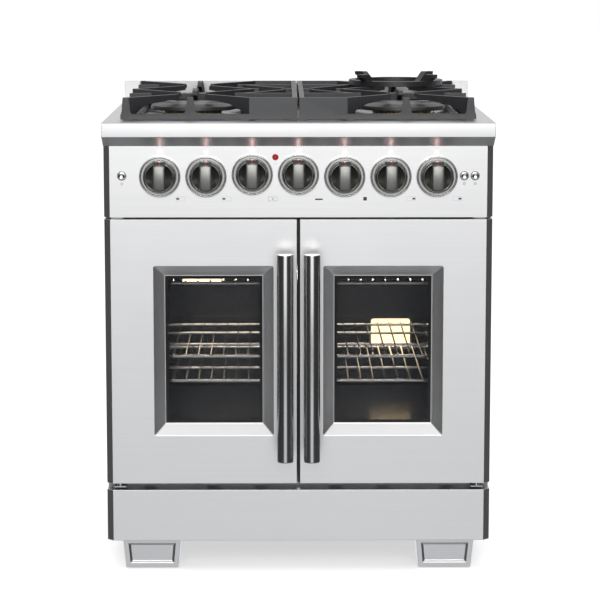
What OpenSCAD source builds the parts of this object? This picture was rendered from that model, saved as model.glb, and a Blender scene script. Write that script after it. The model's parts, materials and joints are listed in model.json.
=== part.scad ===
// Freestanding gas range with two side-hung oven doors, seven knobs and five burners.
// Millimetres. +Z is up, the doors face -Y, and the floor is z = 0 under the middle of the range.

/* [Overall size] */
// Width across the side panels
body_w = 762; // [740:1:920]
// Depth from the door faces to the back
body_d = 673; // [620:1:820]
// Height of the feet below the kick panel
foot_h = 63; // [50:1:80]
// Height of the kick panel
kick_h = 103; // [80:1:140]
// Height of the oven doors
door_h = 528; // [500:1:640]
// Height of the control panel
panel_h = 140; // [120:1:170]
// Height of the front face of the top rail
rail_h = 28; // [20:1:40]
// Height of the slanted underside of the top rail
rail_under_h = 20; // [12:1:30]

/* [Sheet metal] */
// Thickness of the steel sheets
sheet = 1.5; // [1:0.1:2]
// Bevel along the outer edges of the front panels
edge_cut = 12; // [6:1:16]
// Depth from the front panel faces to the casing
front_space = 50; // [46:1:60]
// How far the top rail stands in front of the doors
rail_overhang = 42; // [30:1:50]
// How far the top of the rail runs behind the door faces
rail_back = 8; // [4:1:12]
// Side strip of cooktop outside the grates
side_strip = 38; // [30:1:60]
// Strip of cooktop between the rail's front edge and the grates
front_strip = 60; // [54:1:80]
// Depth of the burner well below the cooktop rim
well_depth = 14; // [8:1:20]
// How far the grates lie on the rim of the well
well_lap = 18; // [14:1:24]
// Height of the low guard at the back
guard_h = 43; // [30:1:60]
// Thickness of the low guard
guard_t = 15; // [10:1:25]
// Distance between the two screw holes in the guard
guard_screw_pitch = 700; // [500:10:720]
// Radius of the screw holes in the guard
guard_screw_r = 2.25; // [2:0.25:3]

/* [Doors] */
// Gap between the two doors
door_gap = 6; // [4:0.5:8]
// Gap between the doors and the control panel
door_top_gap = 4; // [3.5:0.5:6]
// Gap between the doors and the kick panel
door_foot_gap = 13; // [11:1:20]
// Depth of the outer door shell
door_shell_d = 30; // [26:1:32]
// Depth of the whole door, with its inner plug
door_d = 44; // [40:1:46]
// From the outer edge of a door to its window bevel
window_side = 96; // [80:1:110]
// From the middle of the range to the window bevel
window_middle = 49; // [45:1:70]
// From the bottom of a door to its window bevel
window_foot = 97; // [80:1:120]
// From the top of a door to its window bevel
window_head = 92; // [80:1:120]
// Width of the bevel round a window
window_bevel = 20.5; // [12:0.5:24]
// Depth of the bevel round a window
window_depth = 22; // [14:1:24]
// Thickness of the door glass
glass_t = 4; // [3:0.5:5]
// How far the glass reaches behind its opening
glass_lap = 10; // [6:1:12]
// From the middle of the range to the edge of a door's plug
plug_middle = 14; // [10:1:20]
// From the outer edge of a door to its plug
plug_side = 40; // [36:1:50]
// From the top and bottom of a door to its plug
plug_end = 20; // [16:1:24]
// From the outer edge of a door to its hinge axis
hinge_in = 26; // [24:1:28]
// From the door faces back to the hinge axes
hinge_back = 16; // [14:1:17]
// Radius of the hinge pins
hinge_r = 4; // [3:0.5:5]
// How deep a hinge pin goes into its door
hinge_depth = 20; // [15:1:30]
// Radial clearance of pins, shafts and stems
fit = 0.05; // [0.02:0.01:0.1]

/* [Handles] */
// Radius of a handle tube
handle_r = 15.8; // [10:0.1:18]
// From the door faces to the axis of a handle
handle_stand = 59.2; // [45:0.1:65]
// Length of a handle tube
handle_l = 410; // [300:5:450]
// From the middle of the range to a handle
handle_x = 26; // [20:1:30]
// From the bottom of a door to its handle tube
handle_foot = 56; // [30:1:80]
// From the end of a handle tube to its post
handle_post_in = 35; // [25:1:60]
// Radius of a handle post
handle_post_r = 7; // [5:0.5:9]

/* [Controls] */
// From a side of the range to the nearest knob
knob_margin = 110.4; // [100:1:130]
// Height of the knobs above the bottom of the control panel
knob_up = 80.4; // [60:1:90]
// How much higher the third and fourth knobs sit
knob_lift = 4; // [0:0.5:5]
// Radius of a knob bezel
bezel_r = 40; // [34:0.5:42]
// Radius of a knob
knob_r = 32.2; // [26:0.1:33]
// How far a knob stands in front of the panel
knob_out = 46; // [38:1:50]
// Width of a knob's grip bar
grip_w = 22.6; // [16:0.2:26]
// Radius of a valve stem
stem_r = 4; // [3:0.25:5]
// Free travel left behind a knob
push_room = 3.8; // [3.4:0.1:5]
// Radius of a push button
button_r = 7.2; // [5:0.1:8]
// Radial clearance round a push button
button_gap = 0.2; // [0.15:0.05:0.5]
// From a side of the range to the outer buttons
button_side = 36; // [30:1:40]
// Distance between the two right buttons
button_pitch = 21; // [18:1:24]
// Radius of the indicator lamp hole
lamp_hole_r = 5; // [3:0.25:6]

/* [Cooktop] */
// Gap between the two grates
grate_gap = 4; // [3:0.5:8]
// Strip of cooktop between the grates and the guard
back_strip = 26; // [20:1:120]
// Height of the grate tops above the cooktop
grate_top = 45; // [36:1:50]
// Height of the grates' low bars above the cooktop
grate_low = 13; // [10:1:18]
// Half width of the deep plates in the middle of the grates
plate_half = 96; // [84:1:104]
// Width of the grate fingers
finger_w = 9; // [7:0.5:12]
// From the outer edge of a grate to its burners
burner_in = 132; // [120:1:160]
// From the middle of the grates to a burner row
burner_row = 153.5; // [140:0.5:160]
// Radius round a burner that the square fingers leave free
square_clear = 84; // [70:1:90]
// Radius round a burner that the diagonal fingers leave free
diagonal_clear = 45; // [36:1:60]
// Radius of the front burner caps
cap_front_r = 85; // [60:1:86]
// Radius of the back burner caps
cap_back_r = 62; // [45:1:80]
// Radius of the middle burner cap
cap_middle_r = 44; // [30:1:50]
// Outer radius of the wok ring
wok_r = 100; // [85:1:110]
// Height of the wok ring's lugs above the grates
wok_lug_h = 24.5; // [20:0.5:40]

/* [Oven] */
// From a side of the range to the inside of the oven
cavity_side = 76; // [70:1:90]
// Depth of the oven
cavity_d = 470; // [400:5:500]
// From the bottom of the doors to the inside of the oven
cavity_foot = 66; // [55:1:80]
// From the top of the doors to the inside of the oven
cavity_head = 42; // [35:1:60]
// Thickness of the insulation
wool_t = 32; // [20:1:34]
// Height of the oven floor above the bottom of the cavity
floor_up = 44; // [38:1:60]
// Height of the first rack guide above the oven floor
guide_up = 27; // [20:1:40]
// Height between rack guides
guide_pitch = 49.5; // [40:0.5:55]
// Number of rack guides on each side
guide_count = 6; // [5:1:6]
// Radius of the guide wires
guide_r = 3; // [2:0.25:4]
// Depth of a rack
rack_d = 420; // [360:5:440]
// Spacing of a rack's long wires
rack_wire_pitch = 25; // [20:1:35]
// Radius of a rack's long wires
rack_wire_r = 1.8; // [1.5:0.1:2.5]
// Radius of a rack's frame wires
rack_frame_r = 3.2; // [2.5:0.1:4]
// Width of the cover over the convection fan
fan_cover_w = 506; // [400:2:540]
// Height of the cover over the convection fan
fan_cover_h = 148; // [136:2:170]
// Radius of the convection fan
fan_r = 58; // [45:1:62]

/* [Gas line] */
// Radius of the gas pipe
pipe_r = 9.5; // [8:0.5:10.5]
// Radius of the inlet fitting's male thread
inlet_r = 10.65; // [8:0.05:14]
// Height of the inlet above the floor
inlet_z = 150; // [130:5:200]

/* [Hidden] */
$fn = 48;

hw = body_w / 2;
back_y = (body_d + handle_stand + handle_r) / 2;
face_y = back_y - body_d;
frame_y = face_y + front_space;
rail_y = face_y - rail_overhang;
tray_y = face_y + rail_back;
guard_y = back_y - guard_t;

kick_z = foot_h;
kick_top = kick_z + kick_h;
door_z = kick_top + door_foot_gap;
door_top = door_z + door_h;
panel_z = door_top + door_top_gap;
panel_top = panel_z + panel_h;
rail_z = panel_top + rail_under_h;
top_z = rail_z + rail_h;
knob_z = panel_z + knob_up;
well_z = top_z - well_depth;

cav_x = hw - cavity_side;
cav_z = door_z + cavity_foot;
cav_top = door_top - cavity_head;
cav_y = frame_y + cavity_d;
floor_z = cav_z + floor_up;
guide_z = floor_z + guide_up;

grate_in = grate_gap / 2;
grate_out = hw - side_strip;
grate_y = rail_y + front_strip;
grate_d = guard_y - back_strip - grate_y;
grate_mid = grate_y + grate_d / 2;
burner_x = grate_out - burner_in;
grate_seat = 2;

knob_pitch = (body_w - 2 * knob_margin) / 6;
function knob_x(i) = (i - 4) * knob_pitch;
function knob_height(i) = knob_z + ((i == 3 || i == 4) ? knob_lift : 0);

// Burners as [x, y, cap radius]
burners = [
    [-burner_x, grate_mid - burner_row, cap_front_r],
    [-burner_x, grate_mid + burner_row, cap_back_r],
    [0, grate_mid, cap_middle_r],
    [burner_x, grate_mid + burner_row, cap_back_r],
    [burner_x, grate_mid - burner_row, cap_front_r]];

// ---- shared shapes ----

module block(low, high) {
    translate(low) cube(high - low);
}

module rod(from, to, r) {
    run = to - from;
    turn = [0, acos(run[2] / norm(run)), atan2(run[1], run[0])];
    translate(from) rotate(turn) cylinder(h = norm(run), r = r);
}

module mirrored() {
    children();
    mirror([1, 0, 0]) children();
}

// A point on the front panels, looking out along -Y
module on_front(x, z) {
    translate([x, face_y, z]) rotate([90, 0, 0]) children();
}

// Plan of a front panel with bevelled outer edges, shrunk by inset
module panel_plan(x0, x1, cut0, cut1, depth, inset) {
    slant = inset * (sqrt(2) - 1);
    left = cut0 > 0 ? [[x0 + inset, cut0 + slant], [x0 + cut0 + slant, inset]] : [[x0 + inset, inset]];
    right = cut1 > 0 ? [[x1 - cut1 - slant, inset], [x1 - inset, cut1 + slant]] : [[x1 - inset, inset]];
    polygon(concat([[x0 + inset, depth]], left, right, [[x1 - inset, depth]]));
}

// A folded sheet box, open at the back
module folded_shell(x0, x1, z0, z1, cut0, cut1, depth) {
    translate([0, face_y, z0]) difference() {
        linear_extrude(z1 - z0) panel_plan(x0, x1, cut0, cut1, depth, 0);
        translate([0, 0, sheet]) linear_extrude(z1 - z0 - 2 * sheet)
            panel_plan(x0, x1, cut0, cut1, depth + 1, sheet);
    }
}

// A block whose four sides lean in by lean between y0 and y1
module tapered_block(x0, x1, z0, z1, y0, y1, lean) {
    intersection() {
        translate([0, 0, z0]) linear_extrude(z1 - z0)
            polygon([[x0, y0], [x1, y0], [x1 - lean, y1], [x0 + lean, y1]]);
        translate([x0, 0, 0]) rotate([90, 0, 90]) linear_extrude(x1 - x0)
            polygon([[y0, z0], [y1, z0 + lean], [y1, z1 - lean], [y0, z1]]);
    }
}

// ---- casing ----

vent_count = 5;
vent_pitch = 14;
vent_back = 150;
vent_foot = 60;
vent_l = 90;
vent_h = 5;

module side_panel() {
    difference() {
        union() {
            block([-hw, frame_y, kick_z], [-hw + sheet, back_y, top_z - sheet]);
            block([-hw, tray_y, panel_top], [-hw + sheet, frame_y + 1, top_z - sheet]);
        }
        for (i = [0 : vent_count - 1])
            translate([-hw - 1, back_y - vent_back, kick_z + vent_foot + i * vent_pitch])
                cube([sheet + 2, vent_l, vent_h]);
    }
}

module side_panel_left() { color("silver") side_panel(); }
module side_panel_right() { color("silver") mirror([1, 0, 0]) side_panel(); }

inlet_x = hw - 20;
inlet_cut = 34;
cord_hole_r = 11;

// The back panel is let in, so that its screw heads stay inside the casing
back_inset = 2.5;
back_in = back_y - back_inset;
cord_side = 70;
louver_w = 56;
louver_h = 5;
louver_pitch = [80, 16];
louver_foot = 20;

module back_panel() {
    x = hw - sheet;
    color("gainsboro") difference() {
        block([-x, back_in - sheet, kick_z], [x, back_in, top_z - sheet]);
        block([inlet_x - inlet_cut, back_in - 5, inlet_z - inlet_cut],
            [x + 1, back_in + 5, inlet_z + inlet_cut]);
        translate([-hw + cord_side, back_in + 5, inlet_z]) rotate([90, 0, 0])
            cylinder(h = 10, r = cord_hole_r);
        for (row = [0 : 4], column = [-3 : 3])
            translate([column * louver_pitch[0] - louver_w / 2, back_in - 5,
                panel_z + louver_foot + row * louver_pitch[1]]) cube([louver_w, 10, louver_h]);
    }
}

leg_in = 88;
leg_r = 6;
leg_pad_r = 19;
leg_pad_h = 8;
leg_front = 22;
leg_back = 60;
base_z = kick_z + 4;

module at_legs() {
    for (x = [-hw + leg_in, hw - leg_in], y = [frame_y + leg_front, back_y - leg_back])
        translate([x, y, 0]) children();
}

module base_pan() {
    color("gainsboro") difference() {
        block([-hw + sheet, frame_y, base_z], [hw - sheet, back_in - sheet, base_z + sheet]);
        at_legs() translate([0, 0, base_z - 1]) cylinder(h = sheet + 2, r = leg_r + fit);
    }
}

slot_xs = [-297, -170, -75, 75, 170, 297] * (hw / 381);
slot_half = 12;
slot_foot = 3;
slot_h = 6;
frame_lap = 12;

module front_frame() {
    color("dimgray") difference() {
        block([-hw, frame_y - sheet, kick_z], [hw, frame_y, panel_z + frame_lap]);
        block([-cav_x, frame_y - 5, cav_z], [cav_x, frame_y + 5, cav_top]);
        for (x = slot_xs)
            block([x - slot_half, frame_y - 5, kick_top + slot_foot],
                [x + slot_half, frame_y + 5, kick_top + slot_foot + slot_h]);
    }
}

module kick_panel() {
    color("silver") folded_shell(-hw, hw, kick_z, kick_top, edge_cut, edge_cut, front_space - sheet);
}

foot_w = 115;
foot_lean = 5.5;
foot_bottom = 3;
foot_face = 15;
foot_inset = 10;

// A tapered square cover, wide at the top, round each front leg
module foot_cover() {
    x1 = -hw + leg_in + foot_w / 2;
    x0 = x1 - foot_w;
    y0 = face_y + foot_face;
    translate([x0, y0, kick_z]) mirror([0, 0, 1]) difference() {
        leaning_box(foot_w, foot_w, kick_z - foot_bottom, foot_lean);
        translate([sheet, sheet, -1]) leaning_box(foot_w - 2 * sheet, foot_w - 2 * sheet, kick_z, foot_lean);
        translate([foot_inset, -1, foot_inset])
            cube([foot_w - 2 * foot_inset, 1 + sheet / 2, kick_z - foot_bottom - 2 * foot_inset]);
    }
}

// A box whose four sides lean in by lean over its height
module leaning_box(w, d, h, lean) {
    intersection() {
        rotate([90, 0, 0]) translate([0, 0, -d]) linear_extrude(d)
            polygon([[0, 0], [w, 0], [w - lean, h], [lean, h]]);
        rotate([90, 0, 90]) linear_extrude(w)
            polygon([[0, 0], [d, 0], [d - lean, h], [lean, h]]);
    }
}

module foot_covers() {
    color("silver") mirrored() foot_cover();
}

module leveling_legs() {
    color("darkgray") at_legs() {
        cylinder(h = leg_pad_h, r = leg_pad_r);
        translate([0, 0, leg_pad_h]) cylinder(h = kick_z + 30 - leg_pad_h, r = leg_r);
    }
}

well_x = grate_out - well_lap;
well_y0 = grate_y + well_lap;
well_y1 = grate_y + grate_d - well_lap;
tray_slot_half = 26;
tray_slot_pitch = 72;
tray_slot_w = 7;
tray_slot_y = guard_y - (back_strip + tray_slot_w) / 2;

module cooktop_tray() {
    color("silver") difference() {
        union() {
            block([-hw, tray_y, top_z - sheet], [hw, back_y, top_z]);
            block([-well_x - sheet, well_y0 - sheet, well_z - sheet], [well_x + sheet, well_y1 + sheet, top_z]);
        }
        block([-well_x, well_y0, well_z], [well_x, well_y1, top_z + 1]);
        for (b = burners)
            translate([b[0], b[1], well_z - 5]) cylinder(h = 10, r = base_neck_r + 0.5);
        for (i = [-4 : 4])
            block([i * tray_slot_pitch - tray_slot_half, tray_slot_y, top_z - 5],
                [i * tray_slot_pitch + tray_slot_half, tray_slot_y + tray_slot_w, top_z + 5]);
    }
}

rail_round = 4;

// Side view of the top rail, shrunk by inset: a rounded front edge and a slanted underside
module rail_section(inset) {
    r = rail_round - inset;
    top = [for (a = [0 : 15 : 90])
        [rail_y + rail_round - r * cos(a), top_z - rail_round + r * sin(a)]];
    polygon(concat(top, [[tray_y - inset, top_z - inset], [tray_y - inset, panel_top + inset],
        [face_y - 2 + inset, panel_top + inset], [rail_y + inset, rail_z + inset * 0.6]]));
}

module front_rail() {
    color("silver") difference() {
        translate([-hw, 0, 0]) rotate([90, 0, 90]) linear_extrude(body_w) rail_section(0);
        translate([-hw + sheet, 0, 0]) rotate([90, 0, 90]) linear_extrude(body_w - 2 * sheet) rail_section(sheet);
    }
}

module back_guard() {
    color("silver") difference() {
        block([-hw, guard_y, top_z], [hw, back_y, top_z + guard_h]);
        block([-hw + sheet, guard_y + sheet, top_z - 1], [hw - sheet, back_y - sheet, top_z + guard_h - sheet]);
        for (x = [-guard_screw_pitch / 2, guard_screw_pitch / 2])
            translate([x, back_y + 1, top_z + guard_h / 2]) rotate([90, 0, 0])
                cylinder(h = sheet + 2, r = guard_screw_r);
    }
}

button_left_x = -hw + button_side;
button_right_x = hw - button_side;
button_z = panel_z + 81.5;
lamp_x = -knob_pitch / 2;
lamp_z = panel_z + 118;
stem_hole_r = 7;

module at_buttons() {
    for (x = [button_left_x, button_right_x - button_pitch, button_right_x])
        on_front(x, button_z) children();
}

module panel_hole(r) {
    translate([0, 0, -sheet - 1]) cylinder(h = sheet + 2, r = r);
}

module control_panel() {
    color("silver") difference() {
        folded_shell(-hw, hw, panel_z, panel_top, edge_cut, edge_cut, front_space - sheet);
        for (i = [1 : 7])
            on_front(knob_x(i), knob_height(i)) panel_hole(stem_hole_r);
        at_buttons() panel_hole(button_r + button_gap);
        on_front(lamp_x, lamp_z) panel_hole(lamp_hole_r);
    }
}

// ---- oven ----

liner_z0 = cav_z - sheet;
liner_z1 = cav_top + sheet;
fan_y = cav_y;
fan_z = floor_z + fan_cover_h / 2 + 3;
fan_shaft_r = 4;
lens_w = 84;
lens_h = 60;
// Oven lamp lenses as [x, z] of their low left corners
lens_low = [fan_cover_w / 2 - lens_w - 6, fan_z + 5];
lens_high = [-cav_x + 56, floor_z + 220];

module oven_liner() {
    color("darkslategray") difference() {
        block([-cav_x - sheet, frame_y, liner_z0], [cav_x + sheet, cav_y + sheet, liner_z1]);
        block([-cav_x, frame_y - 1, cav_z], [cav_x, cav_y, cav_top]);
        translate([0, cav_y + sheet + 1, fan_z]) rotate([90, 0, 0]) cylinder(h = sheet + 2, r = fan_shaft_r + 3);
    }
}

module insulation() {
    gap = 0.5;
    color("khaki") difference() {
        block([-cav_x - sheet - wool_t, frame_y + 2, liner_z0 - wool_t],
            [cav_x + sheet + wool_t, cav_y + sheet + wool_t, liner_z1 + wool_t]);
        block([-cav_x - sheet - gap, frame_y, liner_z0 - gap], [cav_x + sheet + gap, cav_y + sheet + gap, liner_z1 + gap]);
        translate([0, cav_y + wool_t + 20, fan_z]) rotate([90, 0, 0]) cylinder(h = wool_t + 40, r = fan_shaft_r + 8);
    }
}

floor_x = cav_x - 2;
floor_y0 = frame_y + 6;
floor_y1 = cav_y - 30;

module oven_floor() {
    color("darkslategray") difference() {
        block([-floor_x, floor_y0, cav_z], [floor_x, floor_y1, floor_z]);
        block([-floor_x + sheet, floor_y0 + sheet, cav_z - 1], [floor_x - sheet, floor_y1 - sheet, floor_z - sheet]);
        for (side = [-1, 1], i = [0 : 5])
            block([side * (floor_x - 30) - 4, floor_y0 + 40 + i * 62, floor_z - 5],
                [side * (floor_x - 30) + 4, floor_y0 + 80 + i * 62, floor_z + 5]);
    }
}

guide_wall = 0.5;
guide_x = cav_x - guide_wall - guide_r;
guide_rail_x = guide_x - 2 * guide_r + 0.5;
guide_top_z = guide_z + (guide_count - 1) * guide_pitch;
guide_posts = [frame_y + 40, frame_y + cavity_d / 2, cav_y - 40];

// Wire ladder on one wall: three posts behind a row of rails
module rack_guide() {
    for (y = guide_posts)
        rod([-guide_x, y, floor_z + 2], [-guide_x, y, guide_top_z + 30], guide_r);
    for (y = guide_posts, z = [floor_z + 10, guide_top_z + 22])
        rod([-cav_x, y, z], [-guide_x, y, z], guide_r - 0.5);
    for (i = [0 : guide_count - 1])
        rod([-guide_rail_x, frame_y + 24, guide_z + i * guide_pitch],
            [-guide_rail_x, cav_y - 26, guide_z + i * guide_pitch], guide_r);
}

module rack_guides() {
    color("silver") mirrored() rack_guide();
}

rack_gap = 0.5;
rack_x = guide_rail_x + 1 - rack_frame_r;
rack_y = frame_y + 25;
rack_wires = floor((rack_x - 12) / rack_wire_pitch);
rack_sink = 0.5;

// A rack on guide number i: side and cross bars with long wires laid over them
module rack(i) {
    z = guide_z + i * guide_pitch + guide_r + rack_gap + rack_frame_r;
    wire_z = z + rack_frame_r + rack_wire_r - rack_sink;
    y1 = rack_y + rack_d;
    color("silver") {
        for (y = [rack_y + rack_frame_r, rack_y + rack_d * 0.36, rack_y + rack_d * 0.72, y1 - rack_frame_r])
            rod([-rack_x, y, z], [rack_x, y, z], rack_frame_r, $fn = 8);
        for (x = [-rack_x, rack_x])
            rod([x, rack_y, z], [x, y1, z], rack_frame_r, $fn = 8);
        for (n = [-rack_wires : rack_wires])
            rod([n * rack_wire_pitch, rack_y + 1, wire_z], [n * rack_wire_pitch, y1 - 1, wire_z], rack_wire_r, $fn = 8);
    }
}

module rack_top() { rack(5); }
module rack_middle() { rack(2); }
module rack_lower() { rack(1); }

fan_cover_d = 24;
fan_cover_round = 26;
fan_grille_r = 46;

// Rounded-top outline of the fan cover, seen from the front
module fan_cover_plan(inset) {
    w = fan_cover_w / 2 - inset;
    h = fan_cover_h;
    r = fan_cover_round - inset;
    translate([-w, inset]) square([2 * w, h - 2 * inset - r]);
    translate([-w + r, h - inset - r - 1]) square([2 * (w - r), r + 1]);
    for (x = [-w + r, w - r]) translate([x, h - inset - r]) circle(r);
}

module fan_cover() {
    color("dimgray") translate([0, cav_y, floor_z + 3]) rotate([90, 0, 0]) difference() {
        linear_extrude(fan_cover_d) fan_cover_plan(0);
        translate([0, 0, -1]) linear_extrude(fan_cover_d - sheet + 1) fan_cover_plan(sheet);
        translate([0, fan_cover_h / 2, fan_cover_d - 5]) intersection() {
            cylinder(h = 10, r = fan_grille_r);
            for (n = [-3 : 3]) translate([-fan_grille_r, n * 13 - 3, 0]) cube([2 * fan_grille_r, 6, 10]);
        }
        translate([lens_low[0] - 3, lens_low[1] - floor_z - 6, -1]) cube([lens_w + 6, lens_h + 6, fan_cover_d + 5]);
    }
}

fan_blades = 8;
fan_hub_r = 9;
fan_depth = 12;
motor_y = cav_y + sheet + wool_t + 5;
motor_r = 40;

module convection_fan() {
    color("silver") translate([0, fan_y - 4, fan_z]) rotate([90, 0, 0]) {
        cylinder(h = fan_depth, r = fan_hub_r);
        cylinder(h = sheet, r = fan_r - 8);
        for (n = [0 : fan_blades - 1]) rotate([0, 0, n * 360 / fan_blades])
            translate([fan_hub_r - 1, -sheet / 2, 0]) cube([fan_r - fan_hub_r, sheet, fan_depth]);
        translate([0, 0, -(motor_y + 24 - fan_y + 4)]) cylinder(h = motor_y + 24 - fan_y + 5, r = fan_shaft_r);
    }
}

module fan_motor() {
    color("slategray") difference() {
        union() {
            translate([0, motor_y + 34, fan_z]) rotate([90, 0, 0]) cylinder(h = 34, r = motor_r);
            for (x = [-motor_r + 12, motor_r - 12])
                rod([x, motor_y + 33, fan_z], [x, back_in - sheet, fan_z], 5);
        }
        translate([0, motor_y + 26, fan_z]) rotate([90, 0, 0]) cylinder(h = 30, r = fan_shaft_r + fit);
    }
}

module oven_lamps() {
    color("cornsilk") for (corner = [lens_low, lens_high])
        block([corner[0], cav_y - 9, corner[1]], [corner[0] + lens_w, cav_y, corner[1] + lens_h]);
}

bake_r = 13;
bake_in = 60;

// U-shaped tube burner that lies under the oven floor
module bake_burner() {
    x = cav_x / 2;
    z = cav_z + bake_r + 4;
    color("silver") {
        for (side = [-1, 1]) rod([side * x, floor_y0 + bake_in, z], [side * x, floor_y1 - bake_in / 2, z], bake_r);
        rod([-x, floor_y0 + bake_in, z], [x, floor_y0 + bake_in, z], bake_r);
        for (side = [-1, 1]) {
            translate([side * x, floor_y0 + bake_in, z]) sphere(r = bake_r);
            for (y = [floor_y0 + bake_in + 20, floor_y1 - bake_in])
                block([side * x - 8, y, cav_z], [side * x + 8, y + 3, z]);
        }
    }
}

broil_x = 210;
broil_h = 22;
broil_slot_half = 18;
broil_slot_pitch = 44;
broil_slot_end = 14;
broil_slot_d = 5;

module broil_burner() {
    y0 = frame_y + 80;
    y1 = cav_y - 110;
    color("sandybrown") difference() {
        block([-broil_x, y0, cav_top - broil_h], [broil_x, y1, cav_top]);
        for (i = [-4 : 4])
            block([i * broil_slot_pitch - broil_slot_half, y0 + broil_slot_end, cav_top - broil_h - 1],
                [i * broil_slot_pitch + broil_slot_half, y1 - broil_slot_end, cav_top - broil_h + broil_slot_d]);
    }
}

// ---- doors ----

win_x0 = window_middle;
win_x1 = hw - window_side;
win_z0 = door_z + window_foot;
win_z1 = door_top - window_head;
hinge_x = hw - hinge_in;
hinge_y = face_y + hinge_back;
boss_r = 9;

// Shapes of the right door; the left one is its mirror
module door_skin() {
    wall = sheet * sqrt(2);
    color("silver") difference() {
        union() {
            folded_shell(door_gap / 2, hw, door_z, door_top, 0, edge_cut, door_shell_d);
            tapered_block(win_x0 - wall, win_x1 + wall, win_z0 - wall, win_z1 + wall,
                face_y, face_y + window_depth, window_bevel);
            for (z = [door_z, door_top - hinge_depth - 2])
                translate([hinge_x, hinge_y, z]) cylinder(h = hinge_depth + 2, r = boss_r);
        }
        tapered_block(win_x0, win_x1, win_z0, win_z1, face_y, face_y + window_depth, window_bevel);
        translate([hinge_x, hinge_y, door_z - 1]) cylinder(h = hinge_depth + 2, r = hinge_r + fit);
        translate([hinge_x, hinge_y, door_top - hinge_depth - 1]) cylinder(h = hinge_depth + 2, r = hinge_r + fit);
    }
}

pane_x0 = win_x0 + window_bevel;
pane_x1 = win_x1 - window_bevel;
pane_z0 = win_z0 + window_bevel;
pane_z1 = win_z1 - window_bevel;

module door_liner() {
    flange_y = face_y + door_shell_d;
    plug_x0 = plug_middle;
    plug_x1 = hw - plug_side;
    color("dimgray") difference() {
        union() {
            block([door_gap / 2, flange_y, door_z], [hw, flange_y + sheet, door_top]);
            block([plug_x0, flange_y, door_z + plug_end], [plug_x1, face_y + door_d, door_top - plug_end]);
        }
        block([plug_x0 + sheet, flange_y - 1, door_z + plug_end + sheet],
            [plug_x1 - sheet, face_y + door_d - sheet, door_top - plug_end - sheet]);
        block([pane_x0, flange_y, pane_z0], [pane_x1, face_y + door_d + 1, pane_z1]);
    }
}

// Outer pane behind the bevel and inner pane against the plug
module door_glass() {
    inner_y = face_y + door_d - sheet - glass_t;
    color("gray", 0.4) for (y = [face_y + window_depth, inner_y])
        block([pane_x0 - glass_lap, y, pane_z0 - glass_lap], [pane_x1 + glass_lap, y + glass_t, pane_z1 + glass_lap]);
}

module door_skin_left() { mirror([1, 0, 0]) door_skin(); }
module door_skin_right() { door_skin(); }
module door_liner_left() { mirror([1, 0, 0]) door_liner(); }
module door_liner_right() { door_liner(); }
module door_glass_left() { mirror([1, 0, 0]) door_glass(); }
module door_glass_right() { door_glass(); }

module handle() {
    z0 = door_z + handle_foot;
    y = face_y - handle_stand;
    color("silver") {
        rod([handle_x, y, z0], [handle_x, y, z0 + handle_l], handle_r);
        for (z = [z0 + handle_post_in, z0 + handle_l - handle_post_in])
            rod([handle_x, face_y, z], [handle_x, y, z], handle_post_r);
    }
}

module handle_left() { mirror([1, 0, 0]) handle(); }
module handle_right() { handle(); }

bracket_t = 2.5;
bracket_w = 12;

// Lower and upper bracket of one door, each with its pin
module hinge_set() {
    low_z = kick_top + 4;
    low_top = low_z + bracket_t;
    high_z = door_top + 1;
    front = hinge_y - 10;
    block([hinge_x - bracket_w, front, low_z], [hinge_x + bracket_w, frame_y - sheet, low_top]);
    rod([hinge_x, hinge_y, low_top - 1], [hinge_x, hinge_y, door_z + hinge_depth], hinge_r);
    block([hinge_x - bracket_w, front, high_z], [hinge_x + bracket_w, frame_y - sheet, high_z + bracket_t]);
    rod([hinge_x, hinge_y, high_z + 1], [hinge_x, hinge_y, door_top - hinge_depth], hinge_r);
}

module door_hinges() {
    color("silver") mirrored() hinge_set();
}

seal_w = 12;
seal_in = 4;
seal_gap = 0.3;

module door_seal() {
    color("black") difference() {
        block([-cav_x - seal_in - seal_w, face_y + door_d + seal_gap, cav_z - seal_in - seal_w],
            [cav_x + seal_in + seal_w, frame_y - sheet, cav_top + seal_in + seal_w]);
        block([-cav_x - seal_in, face_y, cav_z - seal_in], [cav_x + seal_in, frame_y + 1, cav_top + seal_in]);
    }
}

// ---- cooktop ----

// Depth of a finger at its tip, and how far the fingers lie inside the height of the bars
tip_h = 9;
finger_drop = 0.3;
bar_w = 12;
plate_w = 10;
inner_bar_w = 10;
inner_bar_h = 14;
// Depth of the bars that carry the square fingers, and of the low bar between the burners
row_bar_h = 20;
cross_drop = 10;
cross_h = 12;
junction_w = 16;
// The fingers over the middle burner: where they leave the row bars, and where they end
middle_root_x = 112;
middle_tip = [28, 27];
middle_stub = 26.5;
foot_gap = 0.2;
foot_w_grate = 16;
flare_half = 15;
flare_top = 5.5;
flare_edge = 5;
post_top = 12;

// A grate finger from the frame at one point to a free tip, deep at the frame and thin at the tip
module finger(from, to) {
    run = to - from;
    l = norm(run);
    top = grate_top - finger_drop;
    seat = grate_seat + finger_drop;
    translate([from[0], from[1], top_z]) rotate([0, 0, atan2(run[1], run[0])]) rotate([90, 0, 0])
        translate([0, 0, -finger_w / 2]) linear_extrude(finger_w)
            polygon([[0, seat], [0, top], [l - 2, top], [l, top - 3], [l, top - tip_h],
                [l * 0.45, top - 1.7 * tip_h], [l * 0.22, top - 2.8 * tip_h], [l * 0.12, grate_low - 3],
                [l * 0.12, seat]]);
}

// A flared post on a low bar that runs along X, leaning by left and right at its foot
module flare(x, y, left, right, top_half) {
    knee = grate_low + 5;
    translate([x, y + finger_w / 2, top_z]) rotate([90, 0, 0]) linear_extrude(finger_w)
        polygon([[-left, grate_seat], [-left, grate_low - 2], [-top_half - (left - top_half) * 0.45, knee],
            [-top_half, grate_top], [top_half, grate_top], [top_half + (right - top_half) * 0.45, knee],
            [right, grate_low - 2], [right, grate_seat]]);
}

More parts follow.
